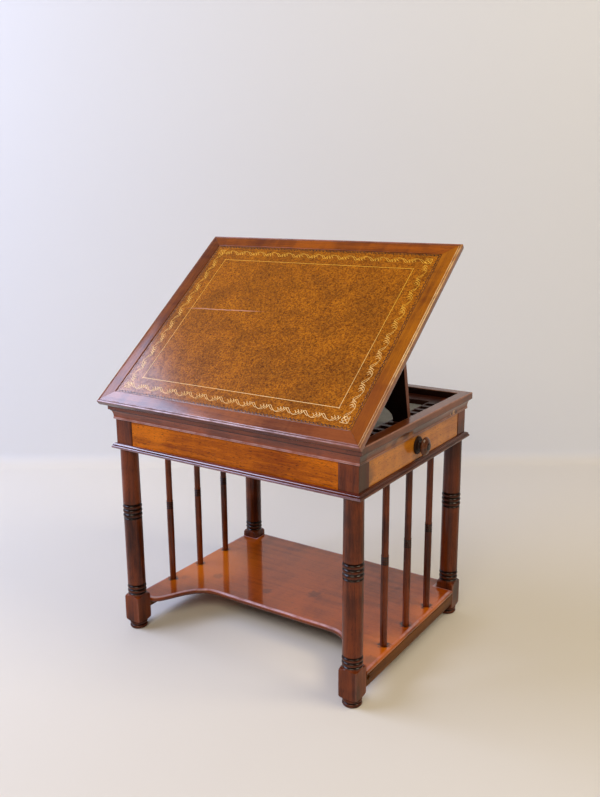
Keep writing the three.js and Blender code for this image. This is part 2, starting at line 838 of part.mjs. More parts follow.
// The strut, measured from its feet's axis: a board with round feet, an arch between them,
// and an upper end cut away so that it passes under the top as both go down.
function strutPieces() {
  const half = strut.thickness / 2;
  const round = strut.footReach - half;
  const section = [
    [-half, -round],
    ...arc(0, -round, half, half, 180, 360),
    [half, strutLength - strut.backRoom],
    [-half, strutLength - strut.frontRoom],
  ];
  const basis = new THREE.Matrix4().makeBasis(
    new THREE.Vector3(0, 1, 0),
    new THREE.Vector3(0, 0, 1),
    new THREE.Vector3(1, 0, 0),
  );
  const options = { depth: 2 * strutHalfWidth, bevelEnabled: false };
  const blank = new THREE.ExtrudeGeometry(outline(section), options)
    .translate(0, 0, -strutHalfWidth).applyMatrix4(basis);
  const footInner = strutHalfWidth - strut.footWidth;
  const low = -strut.footReach - overrun;
  const archPoints = [
    [-footInner, low],
    [footInner, low],
    ...arc(footInner - strut.archCorner, 0, strut.archCorner, strut.archRise, 0, 90),
    ...arc(-footInner + strut.archCorner, 0, strut.archCorner, strut.archRise, 90, 180),
  ];
  const archDepth = strut.thickness + 2 * overrun;
  const arch = new THREE.ExtrudeGeometry(outline(archPoints), { depth: archDepth, bevelEnabled: false })
    .rotateX(Math.PI / 2).translate(0, archDepth / 2, 0);
  const board = cut(blank, arch, ...strutLeafPlaces().map(strutRecess));
  return [piece('strut_board', board, 'mahogany'), ...strutLeafPlaces().map(strutLeaf)];
}

// Where the strut's hinges stand along X.
function strutLeafPlaces() {
  return [['left', -strutHingeX], ['right', strutHingeX]];
}

// The recess for a leaf in the strut's front face.
function strutRecess([, x]) {
  const width = strutHinge.length / 2 + fit;
  const half = strut.thickness / 2;
  return box(
    [x - width, x + width],
    [-half - overrun, -half + strutHinge.leafThickness + fit],
    [strutReach - strutHinge.radius - strutHinge.leafDepth, strutLength],
  );
}

// A leaf on the strut, ending in an open saddle that bears under the pin.
function strutLeaf([side, x]) {
  const face = -strut.thickness / 2;
  const middle = strutHinge.middleKnuckle / 2 - fit;
  const half = strutHinge.length / 2;
  const plateTop = strutReach - strutHinge.radius - fit;
  const bottom = plateTop - strutHinge.leafDepth + 2 * fit;
  const plate = box([-half, half], [face, face + strutHinge.leafThickness], [bottom, plateTop - fit]);
  const neck = box([-middle, middle], [face, face + strutHinge.leafThickness], [bottom, strutReach]);
  const saddle = knuckle(strutHinge.radius, strutHinge.pinRadius + fit, [-middle, middle])
    .translate(0, face, strutReach);
  const open = box(
    [-half, half],
    [face - strutHinge.radius - overrun, face],
    [bottom, strutReach + strutHinge.radius + overrun],
  );
  const room = barAlongX(
    strutHinge.pinRadius + fit,
    [-half - overrun, half + overrun],
    face,
    strutReach,
    segments.hinge,
  );
  const geometry = cut(join(plate, neck, saddle), open, room);
  return piece(`strut_leaf_${side}`, geometry.translate(x, 0, 0), 'brass');
}

// The table, with the top and the strut turned to the pose that it stands in.
const table = new THREE.Group();
table.add(
  ...legs(),
  ...friezeRails(),
  ...drawerRails(),
  ...rims(),
  ...baseMouldings(),
  ...wellPieces(),
  ...runners(),
  shelfBoard(),
  ...bearers(),
  ...spindles(),
  ...caseHinges(),
  ...drawerPieces(),
);

const topGroup = new THREE.Group();
topGroup.add(...topPieces());
topGroup.position.set(0, hingeY, hingeZ);
topGroup.rotation.x = top.tilt * degree;
table.add(topGroup);

const strutGroup = new THREE.Group();
strutGroup.add(...strutPieces());
strutGroup.position.set(0, strutFootY, strutZ);
strutGroup.rotation.x = strut.lean * degree - Math.PI / 2;
table.add(strutGroup);

// Bring the origin under the middle of the overall box.
const span = new THREE.Box3().setFromObject(table);
const middle = span.getCenter(new THREE.Vector3());
table.position.set(-middle.x, -middle.y, -span.min.z);

const model = new THREE.Group();
model.add(table);

export default model;
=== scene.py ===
import math
import bmesh
import bpy
import numpy as np
from mathutils import Matrix, Vector


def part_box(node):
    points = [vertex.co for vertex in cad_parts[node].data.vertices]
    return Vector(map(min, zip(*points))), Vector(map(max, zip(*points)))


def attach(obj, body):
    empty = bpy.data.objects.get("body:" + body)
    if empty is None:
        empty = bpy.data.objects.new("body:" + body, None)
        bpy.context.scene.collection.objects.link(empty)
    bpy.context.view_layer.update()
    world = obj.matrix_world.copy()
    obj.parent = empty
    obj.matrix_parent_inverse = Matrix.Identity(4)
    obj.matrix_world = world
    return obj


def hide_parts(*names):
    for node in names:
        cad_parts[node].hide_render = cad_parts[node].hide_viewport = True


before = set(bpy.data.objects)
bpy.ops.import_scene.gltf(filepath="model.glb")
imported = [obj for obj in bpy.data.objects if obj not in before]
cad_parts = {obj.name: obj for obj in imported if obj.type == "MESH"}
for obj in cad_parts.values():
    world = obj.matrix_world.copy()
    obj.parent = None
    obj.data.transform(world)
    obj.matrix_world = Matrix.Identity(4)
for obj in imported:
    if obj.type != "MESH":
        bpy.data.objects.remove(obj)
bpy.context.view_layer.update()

mm = 0.001


def tone(red, green, blue):
    # screen colour 0..255 to linear light: ((c + 0.055) / 1.055) ^ 2.4
    values = [((c / 255 + 0.055) / 1.055) ** 2.4 if c > 10 else c / 255 / 12.92 for c in (red, green, blue)]
    return (*values, 1.0)


class Wiring:
    # makes and joins the nodes of one tree; a value is a node's output, a number, a vector or a colour

    def __init__(self, tree):
        self.tree = tree

    def fill(self, made, values):
        for key, value in values.items():
            if isinstance(value, bpy.types.NodeSocket):
                self.tree.links.new(value, made.inputs[key])
            else:
                made.inputs[key].default_value = value
        return made

    def node(self, kind, values=None, **settings):
        made = self.tree.nodes.new("ShaderNode" + kind)
        for key, value in settings.items():
            setattr(made, key, value)
        return self.fill(made, values or {})

    def maths(self, operation, *values):
        return self.node("Math", dict(enumerate(values)), operation=operation).outputs[0]

    def plus(self, first, second):
        return self.maths("ADD", first, second)

    def minus(self, first, second):
        return self.maths("SUBTRACT", first, second)

    def times(self, first, second):
        return self.maths("MULTIPLY", first, second)

    def size(self, value):
        return self.maths("ABSOLUTE", value)

    def scaled(self, vector, factors):
        return self.node("VectorMath", {0: vector, 1: factors}, operation="MULTIPLY").outputs[0]

    def parts(self, vector):
        return self.node("SeparateXYZ", {0: vector}).outputs

    def noise(self, vector, scale, detail=2.0, roughness=0.5, distortion=0.0):
        return self.node("TexNoise", {"Vector": vector, "Scale": scale, "Detail": detail,
                                      "Roughness": roughness, "Distortion": distortion}).outputs["Fac"]

    def ramp(self, value, low, high, toLow=0.0, toHigh=1.0):
        # the value carried smoothly from low..high to toLow..toHigh
        return self.node("MapRange", {"Value": value, "From Min": low, "From Max": high, "To Min": toLow,
                                      "To Max": toHigh}, interpolation_type="SMOOTHSTEP").outputs["Result"]

    def mix(self, factor, first, second):
        return self.node("Mix", {0: factor, 6: first, 7: second}, data_type="RGBA").outputs[2]

    def bump(self, height, strength, distance):
        values = {"Height": height, "Strength": strength, "Distance": distance}
        return self.node("Bump", values).outputs["Normal"]

    def place(self):
        return self.node("TexCoord").outputs["Object"]

    def turned(self, turn, shift=(0, 0, 0)):
        # Object coordinates turned so that the grain lies along X
        angles = [math.radians(a) for a in grainTurns[turn]]
        values = {"Vector": self.place(), "Rotation": angles, "Location": shift}
        return self.node("Mapping", values).outputs[0]


def newMaterial(name):
    # a material with its wiring and its shader
    material = bpy.data.materials.new(name)
    material.use_nodes = True
    return material, Wiring(material.node_tree), material.node_tree.nodes["Principled BSDF"]


# turns in degrees that bring each grain direction onto X; the top lies tilted by 38
grainTurns = {"x": (0, 0, 0), "y": (0, 0, -90), "z": (0, 90, 0), "tiltX": (-38, 0, 0), "tiltY": (-38, 0, -90)}
# each noise of the grain: stretch, scale, detail, roughness, distortion, and the range that its ramp spreads
grainLayers = {
    "broad": ((2.6, 60, 60), 1, 3, 0.6, 0, 0.33, 0.68),
    "fine": ((26, 420, 420), 1, 3, 0.65, 0, 0.3, 0.72),
    "pores": ((130, 900, 900), 1, 1, 0.5, 0, 0.58, 0.7),
    "figure": ((26, 6, 6), 1, 2, 0.5, 0.6, 0.35, 0.7),
    "patch": ((1, 1, 1), 6.5, 3, 0.55, 0.4, 0.32, 0.7),
    "pits": ((0.5, 1, 1), 260, 2, 0.5, 0, 0.66, 0.72),
    "rub": ((1, 1, 1), 40, 3, 0.6, 0, 0.28, 0.66, 0.3, 1.0),
}
# dirtshade is the dark tone of grimeshade: a stain in the turned rings, painted shade elsewhere
grainValues = {"driftStretch": (2.2, 7, 7), "drift": (0, 0.022, 0.022), "broad": 0.62, "fine": 0.38,
               "fullShade": 1.25, "pore": (30, 12, 6), "pit": (40, 18, 8), "dirtshade": (20, 10, 8), "wearsheen": 0.75,
               "bare": 0.8, "grimeshade": 0.93, "patchGloss": 0.08, "relief": 0.25}


def makeWoodGroup():
    # grain along X: stretched noise for streaks, short dark pores, cross figure and slow patches; wearsheen
    # lets the wornsheen colour through, a pale rubbed colour on worn arrises that also paints their
    # highlight, and grimeshade covers all with a dark tone, a stain in the turned rings and painted shade in
    # quirks, steps, recesses and under edges
    v = grainValues
    group = bpy.data.node_groups.new("polishedGrain", "ShaderNodeTree")
    amounts = ("Streaks", "Pores", "Figure", "Patches", "Pits", "Wearsheen", "Grimeshade", "Gloss")
    sockets = (("INPUT", "Vector", ("Vector",)), ("INPUT", "Color", ("Light", "Dark", "Worn")),
               ("INPUT", "Float", amounts), ("OUTPUT", "Color", ("Color",)),
               ("OUTPUT", "Float", ("Roughness", "Height")))
    for direction, kind, labels in sockets:
        for label in labels:
            group.interface.new_socket(name=label, in_out=direction, socket_type="NodeSocket" + kind)
    w = Wiring(group)
    given = group.nodes.new("NodeGroupInput").outputs
    vector = given["Vector"]
    drift = w.node("TexNoise", {"Vector": w.scaled(vector, v["driftStretch"]), "Scale": 1.0, "Detail": 1.0})
    bent = w.node("VectorMath", {0: drift.outputs["Color"], 1: v["drift"], 2: vector},
                  operation="MULTIPLY_ADD")

    def layer(name, place):
        stretch, scale, detail, roughness, distortion, *reach = grainLayers[name]
        return w.ramp(w.noise(w.scaled(place, stretch), scale, detail, roughness, distortion), *reach)

    broad, fine, pores = (layer(name, bent.outputs[0]) for name in ("broad", "fine", "pores"))
    figure, patch, pits, rub = (layer(name, vector) for name in ("figure", "patch", "pits", "rub"))
    streak = w.times(w.plus(w.times(broad, v["broad"]), w.times(fine, v["fine"])), given["Streaks"])
    shade = w.plus(w.plus(streak, w.times(patch, given["Patches"])), w.times(figure, given["Figure"]))
    colour = w.mix(w.ramp(shade, 0.0, v["fullShade"]), given["Light"], given["Dark"])
    colour = w.mix(w.times(pores, given["Pores"]), colour, tone(*v["pore"]))
    colour = w.mix(w.times(pits, given["Pits"]), colour, tone(*v["pit"]))
    worn = w.times(w.times(rub, given["Wearsheen"]), v["wearsheen"])
    colour = w.mix(worn, colour, w.mix(v["bare"], given["Light"], given["Worn"]))
    colour = w.mix(w.times(given["Grimeshade"], v["grimeshade"]), colour, tone(*v["dirtshade"]))
    w.fill(group.nodes.new("NodeGroupOutput"), {
        "Color": colour, "Roughness": w.plus(given["Gloss"], w.times(patch, v["patchGloss"])),
        "Height": w.minus(w.times(fine, v["relief"]), pores)})
    return group


woodGroup = makeWoodGroup()
# the default wornsheen colour is a pale rubbed colour on worn arrises that also paints their highlight
grain = {"streaks": 0.6, "pores": 0.4, "figure": 0.12, "patches": 0.4, "pits": 0.0, "gloss": 0.3, "coat": 0.3,
         "coatRoughness": 0.12, "coatIor": 1.5, "specular": 0.05, "worn": (184, 130, 108)}
topFinish = {"streaks": 0.55, "figure": 0.3, "pores": 0.35, "coat": 1.0, "coatRoughness": 0.16,
             "coatIor": 1.55}


def finish(light, dark, **changes):
    # the usual finish in two tones, with what differs for this wood
    return {**grain, "light": light, "dark": dark, **changes}


def topWood(light, dark, **changes):
    # the same for the top's frame, which is more polished
    return finish(light, dark, **{**topFinish, **changes})


woods = {
    # the top's frame is one wood: its four sides' tones are lit and shaded copies that paint the light each
    # side takes, the front's purple tone a painted reflection, and the pale wornsheen colours on the right
    # and front paint the arrises' highlights
    "frameRight": topWood((172, 100, 4), (100, 44, 3), worn=(250, 214, 150)),
    "frameLeft": topWood((146, 76, 12), (80, 32, 6), coat=0.54),
    "frameBack": topWood((166, 84, 2), (92, 36, 2)),
    "frameFront": topWood((158, 90, 48), (90, 39, 22), worn=(238, 218, 238)),
    "frieze": finish((216, 117, 3), (130, 56, 2), pores=0.7, streaks=0.85, pits=0.3, coat=0.18),
    "leg": finish((126, 56, 18), (50, 17, 7), streaks=0.7, patches=0.6, coat=0.45),
    # the base moulding's front and sides are one wood in a lit and a shaded copy; the front's lilac wornsheen
    # colour paints the highlight on its bead
    "moulding": finish((112, 40, 18), (50, 14, 8), coat=1.0, coatRoughness=0.14, coatIor=1.85,
                       worn=(206, 180, 206)),
    "mouldingSideShaded": finish((92, 44, 26), (38, 16, 11), coat=0.6, coatRoughness=0.15),
    # the rim's front is a lit copy of the rim's wood, paler where light falls below the top's edge, and its
    # pale wornsheen colour paints the highlight on its arrises
    "rim": finish((124, 64, 30), (56, 24, 12), coat=0.75, coatRoughness=0.16),
    "rimFrontLit": finish((162, 78, 38), (84, 34, 19), coat=0.85, coatRoughness=0.16, worn=(224, 190, 192)),
    # the shelf's lilac wornsheen colour paints the highlight along its nosing
    "shelf": finish((166, 74, 3), (88, 32, 4), streaks=0.45, figure=0.2, pits=0.35, coat=0.85,
                    coatRoughness=0.05, worn=(226, 196, 208)),
    "bearer": finish((116, 66, 16), (54, 26, 8), pits=0.3, coat=0.12),
    "drawer": finish((208, 130, 34), (146, 78, 16), figure=0.25, streaks=0.45, pits=0.6, coat=0.75,
                     coatRoughness=0.07),
    "strut": finish((62, 30, 20), (22, 10, 7), gloss=0.4, coat=0.2, coatRoughness=0.2),
    # the strut board's near-black tones paint the shade on its face under the tilted top
    "strutBoardShaded": finish((30, 13, 9), (12, 6, 5), gloss=0.45, coat=0.1),
    "ebony": finish((4, 2, 2), (2, 1, 1), gloss=0.4, coat=0.07, coatRoughness=0.05),
    "knob": finish((112, 62, 32), (44, 20, 12), streaks=0.8, coat=0.6, coatRoughness=0.08),
    "secondary": finish((150, 108, 66), (98, 62, 34), streaks=0.7, gloss=0.55, coat=0.05),
}
# marks on a wood, some of them painted shade: colour, then (place in metres, radius, strength) of each
marks = {
    "frameRight": [((128, 62, 26), [((0.305, -0.235, 0.55), 0.19, 0.6)])],
    "frameFront": [((128, 62, 24), [((0.305, -0.235, 0.55), 0.17, 0.6)])],
    # painted shade darkening the back right leg
    "leg": [((36, 18, 14), [((0.27, 0.222, 0.37), 0.16, 0.4), ((0.27, 0.222, 0.2), 0.14, 0.25)])],
    # painted shade on the drawer front's end beside the post
    "drawer": [((92, 66, 44), [((0.2965, -0.192, 0.463), 0.03, 0.6)])],
    "shelf": [
        ((206, 104, 4), [((-0.29, 0.02, 0.066), 0.17, 0.8), ((0.32, 0.1, 0.066), 0.1, 0.7),
                         ((0.3, -0.1, 0.066), 0.1, 0.7)]),
        # the dark rings at the spindles' feet are painted shadow on the shelf; the other spots are knots
        ((34, 16, 10), [((x, y, 0.066), 0.016, 0.95)
                        for x in (-0.2862, 0.2798) for y in (-0.0884, 0.0116, 0.1116)]
         + [((0.0404, 0.0244, 0.066), 0.02, 0.5), ((-0.0589, -0.0216, 0.066), 0.016, 0.5),
            ((-0.2037, -0.0215, 0.066), 0.018, 0.35), ((-0.2669, -0.0685, 0.066), 0.013, 0.2),
            ((0.285, -0.15, 0.066), 0.02, 0.4), ((0.2, 0.06, 0.066), 0.016, 0.3)])],
    "frieze": [((38, 18, 10), [((0.1046, -0.2154, 0.4727), 0.0055, 0.95),
                               ((0.148, -0.2149, 0.4771), 0.005, 0.9),
                               ((0.236, -0.215, 0.48), 0.005, 0.5)])],
    "rim": [((186, 136, 82), [((0.2965, 0.178, 0.4995), 0.008, 0.85), ((0.2965, 0.160, 0.4965), 0.006, 0.8)]),
            ((150, 92, 38), [((0.297, -0.03, 0.497), 0.016, 0.7), ((0.297, -0.075, 0.496), 0.02, 0.7),
                             ((0.297, -0.12, 0.495), 0.018, 0.6)]),
            ((44, 26, 18), [((0.297, 0.168, 0.499), 0.006, 0.9), ((0.2965, 0.19, 0.4985), 0.006, 0.8),
                            ((0.302, -0.225, 0.5), 0.03, 0.7)])],
}
markValues = {"unevenScale": 110, "uneven": 0.026, "core": 0.4}
# painted shade on the frieze: the inside tone behind its show faces, and a shadow line under the rim
friezeValues = {"inside": (40, 20, 12), "show": 0.006, "line": (70, 30, 14), "shadowFrom": 0.0026,
                "lineTo": 0.0016, "shadowStrength": 0.7}
# painted shade on the outer side of the front right post
postValues = {"x": 0.29677, "near": -0.213, "far": -0.189, "strength": 0.8, "weak": 0.3,
              "shade": (62, 46, 36)}
# litEnds paints light on the strut board's ends
boardValues = {"litEnds": (116, 76, 64), "depth": 0.0012}
madeMaterials = {}


def spotted(w, spots):
    # the strongest of several round marks, each fading from its middle to its radius with an uneven edge
    v = markValues
    place = w.place()
    uneven = w.times(w.minus(w.noise(place, v["unevenScale"], 3.0, 0.6), 0.5), v["uneven"])
    total = 0.0
    for middle, radius, strength in spots:
        away = w.node("VectorMath", {0: place, 1: middle}, operation="DISTANCE").outputs["Value"]
        mark = w.ramp(w.plus(away, uneven), radius * v["core"], radius, strength, 0.0)
        total = w.maths("MAXIMUM", total, mark)
    return total


def friezePaintedShade(w, colour):
    # painted shade behind the show faces at the left, front and back, and a painted shadow on the last 2 mm
    # under the rim
    v = friezeValues
    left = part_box("frieze_rail_left")[0].x
    front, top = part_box("frieze_rail_front")[0].y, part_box("frieze_rail_front")[1].z
    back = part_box("frieze_rail_back")[1].y
    x, y, z = w.parts(w.place())
    ends = w.maths("MAXIMUM", w.minus(front + v["show"], y), w.minus(y, back - v["show"]))
    outer = w.maths("MAXIMUM", w.minus(left + v["show"], x), ends)
    colour = w.mix(w.ramp(outer, -0.0005, 0.0005), tone(*v["inside"]), colour)
    line = w.ramp(z, top - v["shadowFrom"], top - v["lineTo"], 0.0, v["shadowStrength"])
    return w.mix(line, colour, tone(*v["line"]))


def postPaintedShade(w, colour):
    # painted shade on the outer side of the front right post, less so towards the drawer: a product of steps
    v = postValues
    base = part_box("frieze_rail_front")[0].z
    x, y, z = w.parts(w.place())
    outer = w.ramp(x, v["x"] - 0.0008, v["x"] - 0.0002)
    fading = w.ramp(y, v["near"], v["far"], v["strength"], v["weak"])
    front = w.times(w.ramp(y, -0.01, 0.01, 1.0, 0.0), fading)
    upper = w.ramp(z, base - 0.006, base - 0.004)
    return w.mix(w.times(w.times(outer, front), upper), colour, tone(*v["shade"]))


def boardPaintedLight(w, colour):
    # painted light on the strut board's two ends, where its lit edges are, by the distance from its middle
    v = boardValues
    low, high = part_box("strut_board")
    half = (high.x - low.x) / 2
    away = w.size(w.minus(w.parts(w.place())[0], (low.x + high.x) / 2))
    ends = w.ramp(away, half - v["depth"], half - v["depth"] * 0.6)
    return w.mix(ends, colour, tone(*v["litEnds"]))


# painted shade and light that follow the shape of a wood's pieces
paintedLightByWood = {"frieze": friezePaintedShade, "leg": postPaintedShade, "strutBoardShaded": boardPaintedLight}


def woodMaterial(wood, turn):
    # polished wood of one kind with its grain along one direction; each has its own place in the grain
    name = wood + turn[0].upper() + turn[1:]
    if name in madeMaterials:
        return madeMaterials[name]
    v = woods[wood]
    material, w, shader = newMaterial(name)
    shift = [len(madeMaterials) * step for step in (0.37, 0.21, 0.13)]
    values = {key.title(): tone(*v[key]) for key in ("light", "dark", "worn")}
    values |= {key.title(): v[key] for key in ("streaks", "pores", "figure", "patches", "pits", "gloss")}
    values |= {key.title(): w.node("Attribute", attribute_name=key).outputs["Fac"]
               for key in ("wearsheen", "grimeshade")}
    effect = w.node("Group", node_tree=woodGroup)
    w.fill(effect, {"Vector": w.turned(turn, shift), **values})
    colour = effect.outputs["Color"]
    for shade, spots in marks.get(wood, []):
        colour = w.mix(spotted(w, spots), colour, tone(*shade))
    if wood in paintedLightByWood:
        colour = paintedLightByWood[wood](w, colour)
    w.fill(shader, {"Base Color": colour, "Roughness": effect.outputs["Roughness"], "Coat Weight": v["coat"],
                    "Coat Roughness": v["coatRoughness"], "Coat IOR": v["coatIor"],
                    "Specular IOR Level": v["specular"],
                    "Normal": w.bump(effect.outputs["Height"], 0.12, 0.0003)})
    madeMaterials[name] = material
    return material


leatherValues = {"middle": (-0.003231, 0.38627), "halves": (0.2872, 0.2297), "light": (190, 114, 3),
                 "tan": (138, 74, 2), "dark": (64, 27, 1), "clouds": 0.36, "specks": 0.78, "roughness": 0.42,
                 "rim": (58, 32, 22), "rimReach": (0.0004, 0.0028, 0.75, 0), "cells": 620,
                 "scratch": (206, 158, 130), "scratchX": -0.154, "scratchY": 0.0343, "slope": 0.043,
                 "wander": 0.006, "scratchLength": (0.05, 0.115, 1, 0),
                 "scratchWidth": (0.0005, 0.0018, 0.65, 0)}


def makeLeather():
    # mottled hide: three tones by two noises, dark specks, a fine grain in relief and a darker band along its
    # edge; a pale scratch fades with the distance from a sloping, wandering line and towards its ends
    v = leatherValues
    material, w, shader = newMaterial("tannedHide")
    vector = w.turned("tiltX", (-v["middle"][0], -v["middle"][1], 0))
    x, y, _ = w.parts(vector)
    cloud = w.ramp(w.noise(vector, 14.0, 5.0, 0.65, 0.6), 0.36, 0.64)
    mottle = w.ramp(w.noise(vector, 240.0, 4.0, 0.7, 0.3), 0.38, 0.62)
    speck = w.ramp(w.noise(vector, 330.0, 3.0, 0.7, 0.5), 0.51, 0.63)
    colour = w.mix(mottle, tone(*v["tan"]), tone(*v["light"]))
    colour = w.mix(w.times(cloud, v["clouds"]), colour, tone(*v["dark"]))
    colour = w.mix(w.times(speck, v["specks"]), colour, tone(*v["dark"]))
    inside = w.maths("MINIMUM", w.minus(v["halves"][0], w.size(x)), w.minus(v["halves"][1], w.size(y)))
    colour = w.mix(w.ramp(inside, *v["rimReach"]), colour, tone(*v["rim"]))
    wander = w.times(w.minus(w.noise(vector, 24.0), 0.5), v["wander"])
    line = w.plus(w.plus(w.times(x, v["slope"]), v["scratchY"]), wander)
    scratch = w.times(w.ramp(w.size(w.minus(y, line)), *v["scratchWidth"]),
                      w.ramp(w.size(w.minus(x, v["scratchX"])), *v["scratchLength"]))
    cells = w.node("TexVoronoi", {"Vector": vector, "Scale": v["cells"]}, feature="DISTANCE_TO_EDGE")
    height = w.plus(w.times(cells.outputs["Distance"], 0.6), mottle)
    w.fill(shader, {"Base Color": w.mix(scratch, colour, tone(*v["scratch"])), "Specular IOR Level": 0.05,
                    "Roughness": w.plus(w.times(mottle, 0.12), v["roughness"]), "Coat Roughness": 0.17,
                    "Coat Weight": w.minus(w.ramp(mottle, 0.0, 1.0, 0.6, 1.0), w.times(speck, 0.3)),
                    "Coat IOR": 1.55, "Normal": w.bump(height, 0.22, 0.0004)})
    return material


goldValues = {"pale": (248, 214, 150), "deep": (236, 192, 118), "far": (232, 178, 56), "farFrom": (0.16, 0.5),
              "hide": (150, 84, 14), "rubbing": 0.4}


def makeGold():
    # leaf worn through in places to the hide beneath, and deeper in colour towards the back
    v = goldValues
    material, w, shader = newMaterial("goldLeaf")
    vector = w.turned("tiltX")
    rubbed = w.ramp(w.noise(vector, 260.0, 3.0, 0.6), 0.56, 0.7)
    slow = w.ramp(w.noise(vector, 9.0, 2.0, 0.5), 0.4, 0.7)
    further = w.ramp(w.parts(vector)[1], *v["farFrom"])
    bright = w.mix(further, w.mix(slow, tone(*v["pale"]), tone(*v["deep"])), tone(*v["far"]))
    w.fill(shader, {"Base Color": w.mix(w.times(rubbed, v["rubbing"]), bright, tone(*v["hide"])),
                    "Metallic": 0.15, "Roughness": 0.45, "Specular IOR Level": 0.2})
    return material


blindValues = {"burnt": (36, 20, 16), "faded": (84, 44, 16)}


def makeBlind():
    # burnt line of the blind tooling, faded in places
    v = blindValues
    material, w, shader = newMaterial("blindTooling")
    faded = w.ramp(w.noise(w.turned("tiltX"), 14.0, 2.0, 0.5), 0.38, 0.62)
    w.fill(shader, {"Base Color": w.mix(faded, tone(*v["burnt"]), tone(*v["faded"])), "Roughness": 0.5,
                    "Specular IOR Level": 0.1, "Coat Weight": 0.75, "Coat Roughness": 0.2, "Coat IOR": 1.6})
    return material


feltValues = {"dull": (110, 110, 106), "rubbed": (134, 134, 132), "nap": (72, 78, 74), "napStrength": 0.45}


def makeBaize():
    # felted wool: grey green with paler rubbed places and a napped relief
    v = feltValues
    material, w, shader = newMaterial("greenBaize")
    vector = w.turned("x")
    nap = w.noise(vector, 700.0, 4.0, 0.7)
    base = w.mix(w.ramp(w.noise(vector, 8.0, 3.0, 0.6), 0.35, 0.7), tone(*v["dull"]), tone(*v["rubbed"]))
    w.fill(shader, {"Base Color": w.mix(w.ramp(nap, 0.4, 0.7, 0.0, v["napStrength"]), base, tone(*v["nap"])),
                    "Roughness": 0.95, "Sheen Weight": 0.3, "Sheen Roughness": 0.5, "Specular IOR Level": 0.2,
                    "Normal": w.bump(nap, 0.5, 0.0006)})
    return material


brassValues = {"bright": (178, 138, 74), "brown": (96, 66, 36), "roughness": 0.28}


def makeBrass():
    # old brass: bright where handled, brown and duller where not
    v = brassValues
    material, w, shader = newMaterial("oldBrass")
    tarnish = w.ramp(w.noise(w.turned("x"), 60.0, 4.0, 0.65), 0.35, 0.65)
    w.fill(shader, {"Base Color": w.mix(tarnish, tone(*v["bright"]), tone(*v["brown"])), "Metallic": 0.9,
                    "Roughness": w.plus(w.times(tarnish, 0.3), v["roughness"])})
    return material


leatherMaterial = makeLeather()
goldMaterial = makeGold()
blindMaterial = makeBlind()
baizeMaterial = makeBaize()
brassMaterial = makeBrass()

# the CAD nodes of each wood and grain direction, by how their names start; what is left is brass
nodeWoods = {
    ("leg", "z"): ("leg_", "spindle_"),
    ("leg", "y"): ("drawer_knob",),
    ("bearer", "y"): ("shelf_bearer_",),
    ("shelf", "x"): ("shelf_board",),
    ("rim", "x"): ("rim_front", "rim_back"),
    ("rim", "y"): ("rim_left", "rim_right"),
    ("moulding", "x"): ("base_moulding_front", "base_moulding_back"),
    ("moulding", "y"): ("drawer_rail_",),
    ("mouldingSideShaded", "y"): ("base_moulding_left", "base_moulding_right"),
    ("frieze", "x"): ("frieze_rail_front", "frieze_rail_back"),
    ("frieze", "y"): ("frieze_rail_left",),
    ("drawer", "y"): ("drawer_front",),
    ("strut", "x"): ("well_ledge_",),
    ("strut", "y"): ("ratchet_strip_", "knob_rose"),
    ("strut", "tiltX"): ("strut_hinge_batten",),
    ("strutBoardShaded", "x"): ("strut_board",),
    ("secondary", "x"): ("well_floor", "drawer_side_", "drawer_runner_", "drawer_bottom"),
    ("secondary", "y"): ("drawer_back",),
    ("secondary", "tiltX"): ("top_core",),
    ("frameFront", "tiltX"): ("top_rail_front",),
    ("frameBack", "tiltX"): ("top_rail_back",),
    ("frameLeft", "tiltY"): ("top_stile_left",),
    ("frameRight", "tiltY"): ("top_stile_right",),
}
softMaterials = {"top_leather": leatherMaterial, "well_baize": baizeMaterial}
for name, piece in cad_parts.items():
    chosen = [wood for wood, starts in nodeWoods.items() if name.startswith(starts)]
    material = woodMaterial(*chosen[0]) if chosen else softMaterials.get(name, brassMaterial)
    piece.data.materials.clear()
    piece.data.materials.append(material)
print("finishes set")

# pieces are worked out in case millimetres, with x = 0 and y = 0 at the case's middle
legLow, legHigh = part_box("leg_front_left")[0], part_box("leg_back_right")[1]
caseShift = np.array(((legLow.x + legHigh.x) / 2, (legLow.y + legHigh.y) / 2, 0.0))


def makePiece(name, points, body, standsFor, material, faces=None, wearsheen=0.0, grimeshade=0.0,
              smoothAngle=38):
    # points (..., 3), with wearsheen (wear and painted highlight) and grimeshade (stain and painted shade)
    # spread over them, as a mesh: a closed tube unless faces are given, doubles merged, faces outward, sharp
    # where the surface turns by more than the angle
    mesh = bpy.data.meshes.new(name)
    faces = faces or tubeFaces(*points.shape[:2])
    mesh.from_pydata((points.reshape(-1, 3) * mm + caseShift).tolist(), [], faces)
    for label, values in (("wearsheen", wearsheen), ("grimeshade", grimeshade)):
        layer = mesh.attributes.new(label, "FLOAT", "POINT")
        layer.data.foreach_set("value", np.broadcast_to(values, points.shape[:-1]).astype(np.float32).ravel())
    work = bmesh.new()
    work.from_mesh(mesh)
    bmesh.ops.remove_doubles(work, verts=work.verts, dist=2e-6)
    bmesh.ops.dissolve_degenerate(work, edges=work.edges, dist=1e-6)
    bmesh.ops.recalc_face_normals(work, faces=work.faces)
    work.to_mesh(mesh)
    work.free()
    mesh.shade_smooth()
    mesh.set_sharp_from_angle(angle=math.radians(smoothAngle))
    mesh.materials.append(material)
    made = bpy.data.objects.new(name, mesh)
    bpy.context.scene.collection.objects.link(made)
    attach(made, body)
    if standsFor:
        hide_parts(*standsFor)
    return made


